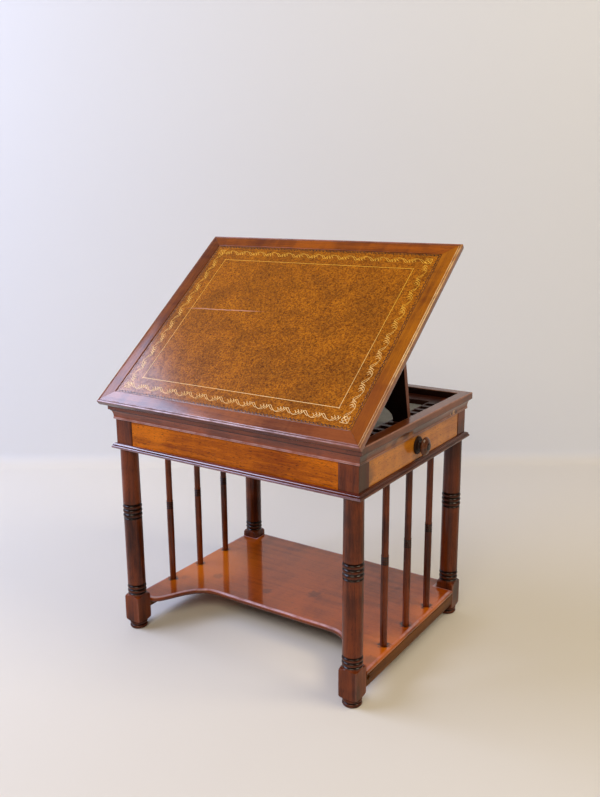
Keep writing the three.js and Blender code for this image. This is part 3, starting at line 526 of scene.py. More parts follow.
def gridFaces(rows, columns, ring=False):
    # quads between neighbouring rows of a grid whose last column joins its first, and last row too in a ring
    i, j = np.meshgrid(np.arange(rows if ring else rows - 1), np.arange(columns), indexing="ij")
    k, after = (j + 1) % columns, (i + 1) % rows
    quads = np.stack((i * columns + j, i * columns + k, after * columns + k, after * columns + j), axis=-1)
    return quads.reshape(-1, 4).tolist()


def tubeFaces(rows, columns):
    # a grid closed by one flat face at each end
    last = (rows - 1) * columns
    return gridFaces(rows, columns) + [list(range(columns))[::-1], list(range(last, last + columns))]


def filleted(corners, steps=5, support=1.2):
    # each corner (u, v, radius, grimeshade) becomes an arc between its tangent points, with a point a little
    # beyond each end where there is room: (u, v, wearsheen, grimeshade), wearsheen 1 on clean arcs for their
    # wear and painted highlight; grimeshade on a corner paints its shade
    points = []
    corners = [(*c, 0.0)[:4] for c in corners]
    for k, (u, v, radius, dirtshade) in enumerate(corners):
        here = np.array((u, v))
        before = np.array(corners[k - 1][:2]) - here
        after = np.array(corners[(k + 1) % len(corners)][:2]) - here
        if radius <= 0:
            points.append((u, v, 0.0, dirtshade))
            continue
        a, b = before / np.linalg.norm(before), after / np.linalg.norm(after)
        half = math.acos(max(-1.0, min(1.0, float(a @ b)))) / 2
        reach = radius / math.tan(half)
        centre = here + (a + b) / np.linalg.norm(a + b) * radius / math.sin(half)
        start, stop = here + a * reach - centre, here + b * reach - centre
        turn = math.atan2(start[0] * stop[1] - start[1] * stop[0], float(start @ stop))
        angles = np.linspace(0, turn, steps + 1)
        arc = centre + np.stack((start[0] * np.cos(angles) - start[1] * np.sin(angles),
                                 start[0] * np.sin(angles) + start[1] * np.cos(angles)), axis=1)
        room = 2.2 * (reach + support)
        if np.linalg.norm(before) > room:
            points.append((*(here + a * (reach + support)), 0.0, 0.0))
        points.extend((*p, 0.0 if dirtshade else 1.0, dirtshade) for p in arc)
        if np.linalg.norm(after) > room:
            points.append((*(here + b * (reach + support)), 0.0, 0.0))
    return np.array(points)


def arcPoints(centreU, centreV, radiusU, radiusV, start, stop, steps=8):
    # corners along an ellipse's arc, in degrees, with no rounding of their own
    a = np.radians(np.linspace(start, stop, steps + 1))
    return [(centreU + radiusU * c, centreV + radiusV * s, 0.0) for c, s in zip(np.cos(a), np.sin(a))]


def turnedPoints(profile, centre, columns):
    # a profile (radius, along) turned about an upright axis
    a = np.arange(columns) / columns * 2 * math.pi
    radius, along = profile[:, 0:1], profile[:, 1:2]
    return np.stack((centre[0] + radius * np.cos(a), centre[1] + radius * np.sin(a), along + 0 * a), axis=-1)


def ringDepth(z, middles, depth, reach):
    # V grooves with half-round beads between: depth * (1 - sqrt(1 - (1 - t)^2)), t the distance in reaches
    distance = np.min(np.abs(z[:, None] - np.array(middles)), axis=1) / reach
    t = np.clip(1 - distance, 0, 1)
    return depth * (1 - np.sqrt(1 - t ** 2))


def nearBand(z, bands, reach, fade):
    # 1 within each band of rings and out to the reach past its ends, then fading to 0
    inside = [np.clip((reach - np.maximum(low - z, z - high)) / fade, 0, 1) for low, high in bands]
    return np.max(inside, axis=0)


legValues = {"axisX": 281, "axisY": 222, "radius": 20, "waist": 19.3, "block": 20, "blockBottom": 18,
             "blockTop": 79.5, "shoulder": 6.5, "foot": (15.8, 4.2, 4.0, 4.2, -70, 75),
             "ankle": (16.6, 13.2, 3.1, 4.3, -80, 60), "columnTop": 425.2, "top": 511.7, "postIn": (25, 22.5),
             "postOut": (19, 16), "grooveDepth": 3.6, "grooveReach": 4.9, "proud": 0.9,
             "grooves": (86, 95.3, 104.6, 266, 276, 286, 296), "bands": ((86, 104.6), (266, 296)),
             "sharpness": 44, "ringStain": 3.2, "bandStain": 0.38, "footStain": 0.3, "footLine": 0.9,
             "wearsheen": 0.35}


def legSection():
    # angles round a leg, closer together at the arrises of block and post
    v = legValues
    corners = [math.pi / 4 + k * math.pi / 2 for k in range(4)]
    sidesX, sidesY = ((v["postOut"][k], -v["postIn"][k]) for k in (0, 1))
    post = [math.atan2(y, x) for x in sidesX for y in sidesY]
    angles = list(np.arange(72) / 72 * 2 * math.pi)
    for corner in corners + post:
        angles += [corner + math.radians(d) for d in (-3.2, -2.2, -1.3, -0.6, 0, 0.6, 1.3, 2.2, 3.2)]
    angles = np.unique(np.round(np.array(angles) % (2 * math.pi), 3))
    return angles[np.concatenate(([True], np.diff(angles) > 0.006))]


def legRows():
    # rows (height, circle radius, block half width, post 0 or 1) from the floor up: two beads, the block
    # with its eased ends, the ringed column that thins above, and the post
    v = legValues
    half, bottom, top, shoulder = v["block"], v["blockBottom"], v["blockTop"], v["shoulder"]
    corner = half * 1.43
    rows = [(z, radius, 0, 0) for radius, z, _ in arcPoints(*v["foot"], 8) + arcPoints(*v["ankle"], 7)]
    rows[0] = (0.0, rows[0][1], 0, 0)
    rows.append((bottom - 0.3, 17.5, half, 0))
    turn = np.radians(np.linspace(0, 90, 7))
    rows += [(bottom + 5 * (1 - math.cos(a)), half + 1.4 + (corner - half - 1.4) * math.sin(a), half, 0)
             for a in turn]
    rows += [(z, corner * 1.05, half, 0) for z in (30.0, 55.0, 68.0)]
    rows += [(top - shoulder * (1 - math.sin(a)), half + 0.9 + (corner - half - 0.9) * math.cos(a), half, 0)
             for a in turn]
    z = np.concatenate((np.arange(80.2, 110.4, 0.66), np.arange(112, 258, 12.0), np.arange(260.4, 302, 0.66),
                        np.arange(306, 424, 14.0), [v["columnTop"]]))
    radius = v["radius"] - (v["radius"] - v["waist"]) * np.clip((z - 300) / 120, 0, 1)
    radius += v["proud"] * nearBand(z, v["bands"], 3.2, 1.2) - ringDepth(z, v["grooves"], v["grooveDepth"],
                                                                         v["grooveReach"])
    rows += [(h, r, 0, 0) for h, r in zip(z, radius)]
    return rows + [(h, 0, 0, 1) for h in (v["columnTop"], 426.0, 468.0, 510.9, v["top"])]


def makeLegs():
    # radius at an angle: (circle^-p + (cos / a)^p + (sin / b)^p)^(-1/p), a soft meeting of circle and square
    v = legValues
    p = v["sharpness"]
    angles = legSection()
    c, s = np.cos(angles), np.sin(angles)
    z, circle, block, post = np.array(legRows()).T
    grimeshade = np.where((z > 80) & (z < 424), np.clip(
        ringDepth(z, v["grooves"], 1.0, v["grooveReach"]) * v["ringStain"]
        + nearBand(z, v["bands"], 3.4, 1.2) * v["bandStain"], 0, 1), 0)
    grimeshade[z < 17.6] = v["footStain"]
    grimeshade[(z > 7.5) & (z < 10.5)] = v["footLine"]
    z, circle, block, post = (values[:, None] for values in (z, circle, block, post))

    def over(values, sides):
        # (values / sides)^p, and 0 where the side is 0
        return np.where(sides > 0, values / np.where(sides > 0, sides, 1), 0) ** p

    turned = over(1.0, circle) + over(np.abs(c), block) + over(np.abs(s), block)
    for row, signY in (("front", -1), ("back", 1)):
        for column, signX in (("left", -1), ("right", 1)):
            width = np.where(c * signX > 0, v["postOut"][0], v["postIn"][0])
            depth = np.where(s * signY > 0, v["postOut"][1], v["postIn"][1])
            radii = (turned + post * ((np.abs(c) / width) ** p + (np.abs(s) / depth) ** p)) ** (-1 / p)
            points = np.stack((signX * v["axisX"] + radii * c, signY * v["axisY"] + radii * s, z + 0 * radii),
                              axis=-1)
            rubbed = np.clip((radii / v["block"] - 1.28) * 9, 0, 1) * v["wearsheen"]
            makePiece(f"leg_turned_{row}_{column}", points, "case", [f"leg_{row}_{column}"],
                      woodMaterial("leg", "z"), wearsheen=np.where((z > 18) & (z < 80), rubbed, 0),
                      grimeshade=grimeshade[:, None])


makeLegs()
print("legs turned")

spindleValues = {"x": 283, "pitch": 100, "bottom": 66.3, "top": 425.2, "radius": 7.1, "swell": 7.8,
                 "topRadius": 6.9, "grooves": (246.1, 250.7, 255.3, 259.9), "band": (246.1, 259.9),
                 "bandRadius": 8.0, "grooveDepth": 1.7, "grooveReach": 2.3, "ringStain": 3.0,
                 "bandStain": 0.5, "columns": 40}


def makeSpindles():
    # radius along the height: a base that swells below the rings, and a plain neck above them
    v = spindleValues
    z = np.concatenate((np.linspace(v["bottom"], 242, 30), np.arange(242.4, 264, 0.42),
                        np.linspace(266, v["top"], 14)))
    rise = np.clip((z - v["bottom"]) / (245 - v["bottom"]), 0, 1) ** 1.3
    lower = v["radius"] + (v["swell"] - v["radius"]) * np.sin(rise * math.pi * 0.72)
    upper = v["radius"] + (v["topRadius"] - v["radius"]) * np.clip((z - 262) / 150, 0, 1) + 0.1
    radius = np.where(z < 243, lower, np.where(z < 263, v["bandRadius"], upper))
    radius -= ringDepth(z, v["grooves"], v["grooveDepth"], v["grooveReach"])
    grimeshade = np.clip(ringDepth(z, v["grooves"], 1.0, v["grooveReach"]) * v["ringStain"]
                    + nearBand(z, [v["band"]], 2.6, 1.0) * v["bandStain"], 0, 1)
    for side, signX in (("left", -1), ("right", 1)):
        for k in range(3):
            place = (signX * v["x"], (k - 1) * v["pitch"])
            points = turnedPoints(np.stack((radius, z), axis=1), place, v["columns"])
            makePiece(f"spindle_turned_{side}_{k + 1}", points, "case", [f"spindle_{side}_{k + 1}"],
                      woodMaterial("leg", "z"), grimeshade=grimeshade[:, None])


makeSpindles()
print("spindles turned")

frameSides = (("front", 0), ("right", 1), ("back", 2), ("left", 3))  # each side with its quarter turns
caseValues = {"halves": (300, 238), "gap": 0.3, "rimTop": 527, "rimBottom": 512, "friezeTop": 490.5,
              "friezeBottom": 437, "caseBottom": 425.5}
rimValues = {"inside": 13, "lip": 11, "cove": 8, "fillet": 3.5, "filletHeight": 4, "coveFlat": 2,
             "topRadius": 1.6, "shadeFrom": 518.4, "recessDepth": 1.5, "hingeX": 200, "hingeHalf": 30.3,
             "hingeY": -259, "leafDepth": 30.3}
baseValues = {"bead": 3, "projection": 9, "roundDepth": 7, "step": 0.5, "wearsheen": 0.3}


def barPoints(profile, halves, turns, cuts=()):
    # a profile (out, z) carried along one side of a mitred frame: x = t (half + out), y = -(face + out), then
    # turned by quarter turns; a cut (from, to, shape) gives the heights another shape between two places
    out, height = profile[:, 0], profile[:, 1]
    half, face = halves[turns % 2], halves[1 - turns % 2]
    reach = half + out - caseValues["gap"] / math.sqrt(2)
    rows = [(-reach, height)]
    for start, stop, shape in cuts:
        cut = shape(out, height)
        rows += [(start, height), (start, cut), (stop, cut), (stop, height)]
    rows.append((reach, height))
    points = np.array([np.stack((x + 0 * out, -(face + out), z), axis=1) for x, z in rows])
    a = turns * math.pi / 2
    x = points[..., 0] * math.cos(a) - points[..., 1] * math.sin(a)
    y = points[..., 0] * math.sin(a) + points[..., 1] * math.cos(a)
    return np.stack((x, y, points[..., 2]), axis=-1)


def hingeCuts(shape):
    # the two stretches of a front bar where the hinges lie
    r = rimValues
    return [(s * r["hingeX"] - r["hingeHalf"], s * r["hingeX"] + r["hingeHalf"], shape) for s in (-1, 1)]


def rimProfile(shaded):
    # a rounded lip, a hollow quarter ellipse and a small fillet, from the inside bottom round to the inside
    # top; grimeshade paints shade in the inner corners, under the lip and in the top of the hollow, and where
    # shaded a painted shadow gap on the lip's upper part
    c, r = caseValues, rimValues
    coveBottom, coveTop = c["friezeTop"] + r["filletHeight"] - 0.4, c["rimBottom"] - r["coveFlat"]
    corners = [(-r["inside"], c["rimBottom"], 0, 1.0), (0.3, c["rimBottom"], 0), (0.3, c["friezeTop"], 0),
               (r["fillet"], c["friezeTop"], 1.2), (r["fillet"], coveBottom, 0.9)]
    width, height = r["cove"] - r["fillet"] + 0.6, coveTop - coveBottom
    hollow = arcPoints(r["cove"], coveBottom, width, height, 172, 90, 10)
    # painted shade in the top of the hollow, under the lip
    corners += hollow[:-3] + [(*p, dirtshade) for p, dirtshade in zip(hollow[-3:], (0.2, 0.5, 0.85))]
    corners += [(r["cove"], c["rimBottom"], 0, 1.0), (r["lip"], c["rimBottom"], 0.8, 0.5)]
    if shaded:
        # a painted shadow gap on the lip's upper part, under the top's edge
        corners += [(r["lip"], r["shadeFrom"], 0, 0.0), (r["lip"], r["shadeFrom"] + 1.0, 0, 0.9)]
    corners += [(r["lip"], c["rimTop"], r["topRadius"], 0.95 if shaded else 0.0),
                (-r["inside"], c["rimTop"], 1.0), (-r["inside"], c["rimTop"] - 2.2, 0, 0.95)]
    return filleted(corners)


def makeRims():
    # the hinge leaves' recess lowers the top of the front rim between the hinges' ends
    c, r = caseValues, rimValues
    inner = -c["halves"][1] - r["hingeY"] - r["leafDepth"]

    def lowered(out, height):
        return np.where(out > inner, np.minimum(height, c["rimTop"] - r["recessDepth"]), height)

    for side, turns in frameSides:
        front = side == "front"
        profile = rimProfile(front)
        points = barPoints(profile, c["halves"], turns, hingeCuts(lowered) if front else ())
        material = woodMaterial("rimFrontLit" if front else "rim", "y" if turns % 2 else "x")
        makePiece(f"rim_moulded_{side}", points, "case", [f"rim_{side}"], material,
                  wearsheen=profile[:, 2], grimeshade=profile[:, 3])


def baseProfile():
    # a half-round bead under a quarter round, with painted shade on the step between them
    c, b = caseValues, baseValues
    beadMiddle, beadOut = c["caseBottom"] + b["bead"], b["projection"] - b["bead"]
    beadTop = beadMiddle + b["bead"]
    roundBottom = beadTop + b["step"]
    corners = [(0.3, c["caseBottom"], 0)]
    corners += arcPoints(beadOut, beadMiddle, b["bead"], b["bead"], -90, 78, 10)
    steps = [(beadOut - 1.4, beadTop - 0.1, 1.0), (beadOut - 1.4, roundBottom, 1.0),
             (b["roundDepth"] + 0.1, roundBottom, 0.7)]
    above = arcPoints(0.3, roundBottom, b["roundDepth"], c["friezeBottom"] - roundBottom, 4, 90, 10)
    points = np.array(corners + steps + above)
    # wearsheen on the bead's outer face: wear, and on the front a painted highlight
    wearsheen = np.where(points[:, 0] > b["projection"] - 0.8, b["wearsheen"], 0.0)
    return np.column_stack((points[:, :2], wearsheen, points[:, 2]))


def makeBaseMouldings():
    # one profile carried along the case's four sides
    profile = baseProfile()
    for side, turns in frameSides:
        points = barPoints(profile, caseValues["halves"], turns)
        material = woodMaterial("mouldingSideShaded", "y") if turns % 2 else woodMaterial("moulding", "x")
        makePiece(f"base_moulded_{side}", points, "case", [f"base_moulding_{side}"],
                  material, wearsheen=profile[:, 2], grimeshade=profile[:, 3])


makeRims()
makeBaseMouldings()
print("mouldings run")

# the top is worked out as it lies shut, then tilted about the hinges' axis
topValues = {"halfX": 320, "front": -6, "depth": 525, "underside": 0.1, "thickness": 13.5, "frameWidth": 32.5,
             "bead": 2.2, "beadDrop": 0.5, "quirk": 0.9, "quirkDepth": 1.9, "arris": 2.4, "wearsheen": 0.8,
             "edgeShade": {"front": 0.55, "right": 0.1, "back": 0.3, "left": 0.35}, "tilt": 38, "axisY": -259,
             "axisZ": 527.5, "leafRoom": 1.5, "knuckleRoom": 4.3, "fineColumns": 34}
topMiddle = topValues["front"] + topValues["depth"] / 2


def tilted(points):
    # turned by the tilt about the hinges' axis: y' = y cos - z sin, z' = y sin + z cos
    v = topValues
    a = math.radians(v["tilt"])
    x, y, z = points[..., 0], points[..., 1], points[..., 2]
    return np.stack((x, v["axisY"] + y * math.cos(a) - z * math.sin(a),
                     v["axisZ"] + y * math.sin(a) + z * math.cos(a)), axis=-1)


def topFrameProfile():
    # a flat field with a round arris, a quirk, and a bead that runs down into the edge; out counts from the
    # field's inner edge; grimeshade paints shade along the underside's outer arris and in the quirk, and
    # wearsheen on the arris and bead paints their highlight with their wear
    v = topValues
    low, surface = v["underside"], v["underside"] + v["thickness"]
    outer = v["frameWidth"] - 0.08
    bead, arris, quirkLevel = v["bead"], v["arris"], surface - v["quirkDepth"]
    inner = outer - bead - bead * 0.62
    field = inner - v["quirk"]
    # painted shade along the underside's outer arris
    corners = [(0, low, 0.3), (outer - 1.2, low, 0.8, 1.0), (outer - 0.4, low + 2.4, 0, 0.9),
               (outer - 0.3, low + 3.2, 0, 0.5)]
    corners += arcPoints(outer - bead, surface - v["beadDrop"] - bead, bead, bead, -10, 126, 14)
    # painted shade in the quirk
    corners += [(inner - 0.15, quirkLevel, 0, 1.0), (field, quirkLevel, 0, 0.9)]
    corners += arcPoints(field - arris, surface - arris, arris, arris, 32, 90, 6)
    profile = filleted(corners + [(0, surface, 0.7)])
    high = (profile[:, 0] > field - arris * 0.8) & (profile[:, 1] > surface - v["quirkDepth"] * 0.8)
    profile[:, 2] = np.where(high, v["wearsheen"], 0.0)
    return profile


def fineUnderside(profile):
    # the profile with closely spaced points along its underside, where the hinges' room is cut
    v = topValues
    low = profile[:, 1] < v["underside"] + 0.02
    last = int(np.argmax(np.where(low, profile[:, 0], -1)))
    first = int(np.argmin(np.where(low, profile[:, 0], 99)))
    share = np.linspace(0, 1, v["fineColumns"])[1:-1, None]
    return np.concatenate((profile[:first + 1], profile[first] + (profile[last] - profile[first]) * share,
                           profile[last:]))


def makeTopFrame():
    # the frame's profile carried round the panel, with room for the hinges under the front rail
    v = topValues
    halves = (v["halfX"] - v["frameWidth"], v["depth"] / 2 - v["frameWidth"])

    def roomed(out, height):
        # room under the front rail for the leaves and the knuckles
        y = topMiddle - halves[1] - out
        room = np.where(y > 0, v["underside"] + v["leafRoom"], -9.0)
        room = np.maximum(room, np.sqrt(np.clip(v["knuckleRoom"] ** 2 - y ** 2, 0, None)))
        return np.maximum(height, np.where(height < v["underside"] + 6, room, height))

    for side, turns in frameSides:
        front = side == "front"
        profile = fineUnderside(topFrameProfile()) if front else topFrameProfile()
        points = barPoints(profile, halves, turns, hingeCuts(roomed) if front else ())
        points[..., 1] += topMiddle
        # painted shade on the edge face below the bead, set by side as the light falls
        beadFoot = v["underside"] + v["thickness"] - v["bead"]
        edge = (profile[:, 0] > v["frameWidth"] - 4) & (profile[:, 1] < beadFoot)
        kind, turn = ("stile", "tiltY") if turns % 2 else ("rail", "tiltX")
        makePiece(f"top_{kind}_moulded_{side}", tilted(points), "top", [f"top_{kind}_{side}"],
                  woodMaterial("frame" + side.title(), turn), wearsheen=profile[:, 2],
                  grimeshade=np.maximum(profile[:, 3], np.where(edge, v["edgeShade"][side], 0.0)))


makeTopFrame()
print("top framed")

# lengths of the tooling are from the panel's middle; a petal is (start, stop, bow), its u in shares of a
# repeat in the border and in millimetres from the corner's middle at the corners
toolingValues = {
    "surface": 12.62, "sunk": 0.05, "lineHalves": (241.3, 183.8), "lineWidth": 1.0, "lineRise": 0.16,
    "overshoot": 1.6, "bandHalves": (265.5, 207.6), "bandClear": 9.0, "repeats": (13, 10), "wave": 6.5,
    "skew": 0.07, "stems": ((-0.14, 0.6, 0.0, 0.0), (0.0, 0.42, -5.2, 1.0)), "stemWidth": 0.85,
    "petalWidths": (0.7, 1.05), "cornerWidths": (0.9, 1.2),
    "petals": (((0.48, -5.2), (0.66, 4.2), -0.16), ((0.63, -5.6), (0.82, 5.8), -0.12),
               ((0.79, -4.4), (0.93, 5.4), -0.1), ((0.44, 3.0), (0.56, -2.4), 0.14),
               ((0.57, 6.2), (0.72, -2.4), 0.12), ((0.74, 6.8), (0.87, -0.6), 0.12)),
    "cornerPetals": (((-7.0, -7.0), (9.0, -6.2), -0.04), ((-7.0, -7.0), (-6.2, 9.0), 0.04),
                     ((-6.4, -6.4), (5.6, 5.6), 0.0), ((-3.4, 3.4), (3.4, -3.4), 0.0),
                     ((-5.4, 1.0), (1.2, 7.6), 0.15), ((1.0, -5.4), (7.6, 1.2), -0.15),
                     ((0.8, 7.4), (5.4, 2.2), 0.2), ((7.4, 0.8), (2.2, 5.4), -0.2)),
    "zigzagHalves": (282.4, 225.4), "zigzagPitch": 8.5, "zigzagReach": 1.5, "zigzagWidth": 2.3,
    "zigzagRise": 0.22, "zigzagSunk": 0.04, "dash": 0.62, "dashWidth": 0.6}


def makeRidges(name, strokes, rise, material, sunk=0.0):
    # a ridge along each flat path (path, first width, last width): left edge, crest and right edge at each
    # point, closed at both ends, all in one piece
    low, high = toolingValues["surface"] - toolingValues["sunk"], toolingValues["surface"] + rise
    points, faces, start = [], [], 0
    for path, first, last in strokes:
        step = np.gradient(path, axis=0)
        step /= np.maximum(np.linalg.norm(step, axis=1), 1e-9)[:, None]
        width = np.linspace(first, last, len(path))[:, None]
        across = np.stack((-step[:, 1], step[:, 0]), axis=1) * width / 2
        lines = ((path + across, low), (path, high), (path - across, low))
        ridge = np.stack([np.column_stack((flat, np.full(len(path), z))) for flat, z in lines], axis=1)
        points.append(ridge.reshape(-1, 3))
        faces += [[start + k for k in face] for face in tubeFaces(len(path), 3)]
        start += 3 * len(path)
    placed = panelPlace(np.concatenate(points) - (0, 0, sunk))
    makePiece(name, placed, "top", [], material, faces=faces, smoothAngle=80)


def leaf(start, stop, bow, rows=6):
    # a bowed stroke: the chord plus a half sine to its left
    t = np.linspace(0, 1, rows)[:, None]
    start, stop = np.array(start, float), np.array(stop, float)
    chord = stop - start
    return start + chord * t + np.array((-chord[1], chord[0])) * bow * np.sin(t * math.pi)


def scrollStrokes(length):
    # one repeat: a stem u = L (t - s sin 2 pi t), v = A cos 2 pi t from its crest into its trough, an inner
    # stem, then a lattice of petals rising to the next crest
    v = toolingValues
    strokes = []
    for first, last, shift, drop in v["stems"]:
        t = np.linspace(first, last, 24)
        u = length * (t - v["skew"] * np.sin(2 * math.pi * t)) + shift
        path = np.stack((u, (v["wave"] - drop) * np.cos(2 * math.pi * t)), axis=1)
        strokes.append((path, v["stemWidth"], v["stemWidth"]))
    for (startU, startV), (stopU, stopV), bow in v["petals"]:
        strokes.append((leaf((startU * length, startV), (stopU * length, stopV), bow), *v["petalWidths"]))
    return strokes


def panelPlace(points):
    # from the panel's middle to the top's own coordinates, then tilted
    return tilted(points + (0, topMiddle, 0))


def sidePaths(halves):
    # the four sides of a rectangle as (start, direction, inward normal, length)
    corners = np.array(((-1, -1), (1, -1), (1, 1), (-1, 1))) * halves
    for a, b in zip(corners, np.roll(corners, -1, axis=0)):
        length = np.linalg.norm(b - a)
        along = (b - a) / length
        yield a, along, np.array((-along[1], along[0])), length


def makeGoldTooling():
    # a ruled rectangle, and the scroll border outside it with crossing petals at its corners
    t = toolingValues
    strokes = []
    for start, along, inward, length in sidePaths(t["lineHalves"]):
        u = np.linspace(-t["overshoot"], length + t["overshoot"], 40)
        strokes.append((start + u[:, None] * along, t["lineWidth"], t["lineWidth"]))
    for k, (start, along, inward, length) in enumerate(sidePaths(t["bandHalves"])):
        repeats = t["repeats"][k % 2]
        pitch = (length - 2 * t["bandClear"]) / repeats
        placed = [(path + (t["bandClear"] + n * pitch, 0), first, last)
                  for n in range(repeats) for path, first, last in scrollStrokes(pitch)]
        placed += [(leaf(*petal), *t["cornerWidths"]) for petal in t["cornerPetals"]]
        strokes += [(start + path[:, 0:1] * along + path[:, 1:2] * inward, first, last)
                    for path, first, last in placed]
    makeRidges("gold_tooling", strokes, t["lineRise"], goldMaterial)


def makeBlindTooling():
    # a zigzag all the way round, just inside the leather's edge; every second stroke is a shorter dash
    t = toolingValues
    strokes = []
    for start, along, inward, length in sidePaths(t["zigzagHalves"]):
        count = int(length / t["zigzagPitch"]) * 2
        side = np.where(np.arange(count + 1) % 2 == 0, 1.0, -1.0) * t["zigzagReach"]
        knee = np.stack((np.linspace(0, length, count + 1), side), axis=1)
        for k in range(count):
            share, narrowing = (t["dash"], t["dashWidth"]) if k % 2 else (1.0, 1.0)
            width, gap = t["zigzagWidth"] * narrowing, (1 - share) / 2
            part = knee[k] + (knee[k + 1] - knee[k]) * np.linspace(gap, 1 - gap, 3)[:, None]
            strokes.append((start + part[:, 0:1] * along + part[:, 1:2] * inward, width, width))
    makeRidges("blind_tooling", strokes, t["zigzagRise"], blindMaterial, sunk=t["zigzagSunk"])


makeGoldTooling()
makeBlindTooling()
print("leather tooled")

hideValues = {"low": (-287.2, -229.7), "high": (287.2, 229.7), "base": 11.1, "thickness": 1.5,
              "counts": (132, 106), "wave": 0.05, "edge": 1.6, "fall": 0.4}
baizeValues = {"low": (-239.67, -177.65), "high": (239.73, 177.75), "base": 500.3, "thickness": 1.5,
               "counts": (90, 68), "wave": 0.12, "edge": 2.0, "fall": 0.35}


def spaced(low, high, count, edge):
    # even stations with closer ones near both ends
    middle = np.linspace(low + edge * 2, high - edge * 2, count)
    first, last = [low, low + edge * 0.3, low + edge], [high - edge, high - edge * 0.3, high]
    return np.concatenate((first, middle, last))


def pillowed(x, y, v):
    # level + wave (sine x sine of two slopes), less the fall times the squared nearness to the edge
    away = np.minimum(np.minimum(x - x.min(), x.max() - x), np.minimum(y - y.min(), y.max() - y))
    near = np.clip(1 - away / v["edge"], 0, 1)
    waves = np.sin(x / 17 + 1.3 * np.sin(y / 41)) * np.sin(y / 23 + 0.9 * np.sin(x / 37))
    return v["base"] + v["thickness"] - v["wave"] + v["wave"] * waves * (1 - near) - v["fall"] * near ** 2


def closedSheet(v):
    # a grid of heights closed by a wall down to the base and one face beneath: its points and faces
    x, y = np.meshgrid(*(spaced(*reach, v["edge"]) for reach in zip(v["low"], v["high"], v["counts"])))
    rows, columns = x.shape
    top = np.stack((x, y, pillowed(x, y, v)), axis=-1).reshape(-1, 3)
    i, j = np.meshgrid(np.arange(rows - 1), np.arange(columns - 1), indexing="ij")
    corner = i * columns + j
    quads = np.stack((corner, corner + 1, corner + columns + 1, corner + columns), axis=-1).reshape(-1, 4)
    loop = np.concatenate((np.arange(columns), np.arange(2, rows + 1) * columns - 1,
                           (rows - 1) * columns + np.arange(columns - 2, -1, -1),
                           np.arange(rows - 2, 0, -1) * columns))
    below = np.column_stack((top[loop, :2], np.full(len(loop), v["base"])))
    k = np.arange(len(loop))
    after = (k + 1) % len(k)
    walls = np.stack((loop, loop[after], len(top) + after, len(top) + k), axis=-1)
    return np.concatenate((top, below)), quads.tolist() + walls.tolist() + [(len(top) + k).tolist()]


def layHideAndBaize():
    # the hide lies tilted on the top, and the baize lies level in the well
    points, faces = closedSheet(hideValues)
    makePiece("leather_hide", panelPlace(points), "top", ["top_leather"], leatherMaterial,
              faces=faces)
    v = baizeValues
    points, faces = closedSheet(v)
    cloth = makePiece("baize_cloth", points, "case", ["well_baize"], baizeMaterial, faces=faces)


layHideAndBaize()
print("hide and baize laid")

# corners (radius, out, rounding) of the turned rose and knob, out from the drawer's face
knobValues = {
    "face": 299.1, "z": 467, "columns": 72, "wearsheen": 0.15, "darkenedTo": 9.5,
    "rose": ((5.3, 0.3, 0), (18.5, 0.3, 0.3), (18.5, 2.6, 1.4), (15.4, 4.2, 1.0), (13.6, 3.2, 0.5),
             (11.6, 4.0, 0.8), (5.3, 3.5, 0)),
    "head": ((0.01, -15, 0), (5, -15, 0.5), (5, 3.8, 0), (9.0, 4.1, 0.7), (8.2, 5.6, 0.6), (6.6, 7.4, 2.0),
             (6.8, 10.6, 2.0), (10.5, 12.6, 2.0), (17.2, 14.4, 1.2), (19.0, 16.2, 0.9), (18.8, 18.4, 1.0),
             (16.8, 21.0, 3.0), (10.5, 24.4, 4.0), (6.6, 25.4, 0.5), (6.2, 26.6, 0.6), (0.01, 27.0, 0))}


def makeTurned(name, profile, standsFor, wood, faces=None):
    # a profile turned about the knob's level axis: out along x, dark near the axis, which paints shade in the
    # narrow neck between rose and head
    v = knobValues
    points = turnedPoints(profile, (0, v["z"]), v["columns"])[..., (2, 0, 1)] + (v["face"], 0, 0)
    makePiece(name, points, "drawer", [standsFor], woodMaterial(wood, "y"), faces=faces,
              wearsheen=profile[:, 2:3] * v["wearsheen"], grimeshade=np.clip((v["darkenedTo"] - profile[:, 0:1]) / 2, 0, 1))


def makeKnob():
    # the rose is a closed ring round the knob's neck, and the knob is closed by its two ends
    rose = filleted(knobValues["rose"])
    ringed = gridFaces(len(rose), knobValues["columns"], ring=True)
    makeTurned("rose_turned", rose, "knob_rose", "ebony", ringed)
    makeTurned("knob_turned", filleted(knobValues["head"], steps=6), "drawer_knob", "knob")


makeKnob()
print("knob turned")

shelfValues = {"top": 66, "thickness": 11, "sideX": 302, "endX": 260.7, "endY": 201.7, "frontY": -99,
               "backY": 239, "straight": 150, "nosing": 5.2, "underRound": 4.2, "wornRows": (10, 13),
               "grimeshade": (0.8, 0.8, 0.8, 0.75, 0.7, 0.62, 0.55, 0.5, 0.4)}


def shelfOutline():
    # straight front, Bezier curves out to the legs, notches round the back blocks; the left mirrors the right
    v = shelfValues
    bend = (v["endX"] - v["straight"]) / 3 * 2
    t = np.linspace(0, 1, 25)[:, None]
    a, b, c, d = np.array([(v["straight"], v["frontY"]), (v["straight"] + bend, v["frontY"]),
                           (v["endX"] - bend / 2, -v["endY"]), (v["endX"], -v["endY"])])
    curve = (1 - t) ** 3 * a + 3 * (1 - t) ** 2 * t * b + 3 * (1 - t) * t ** 2 * c + t ** 3 * d
    side = [(v["sideX"], y) for y in (-v["endY"], -66.0, 66.0, v["endY"])]
    back = [(v["endX"], v["endY"]), (v["endX"], v["backY"]), (90.0, v["backY"])]
    right = np.concatenate(([(0.0, v["frontY"]), (75.0, v["frontY"])], curve, side, back))
    return np.concatenate((right, right[:0:-1] * (-1, 1)))


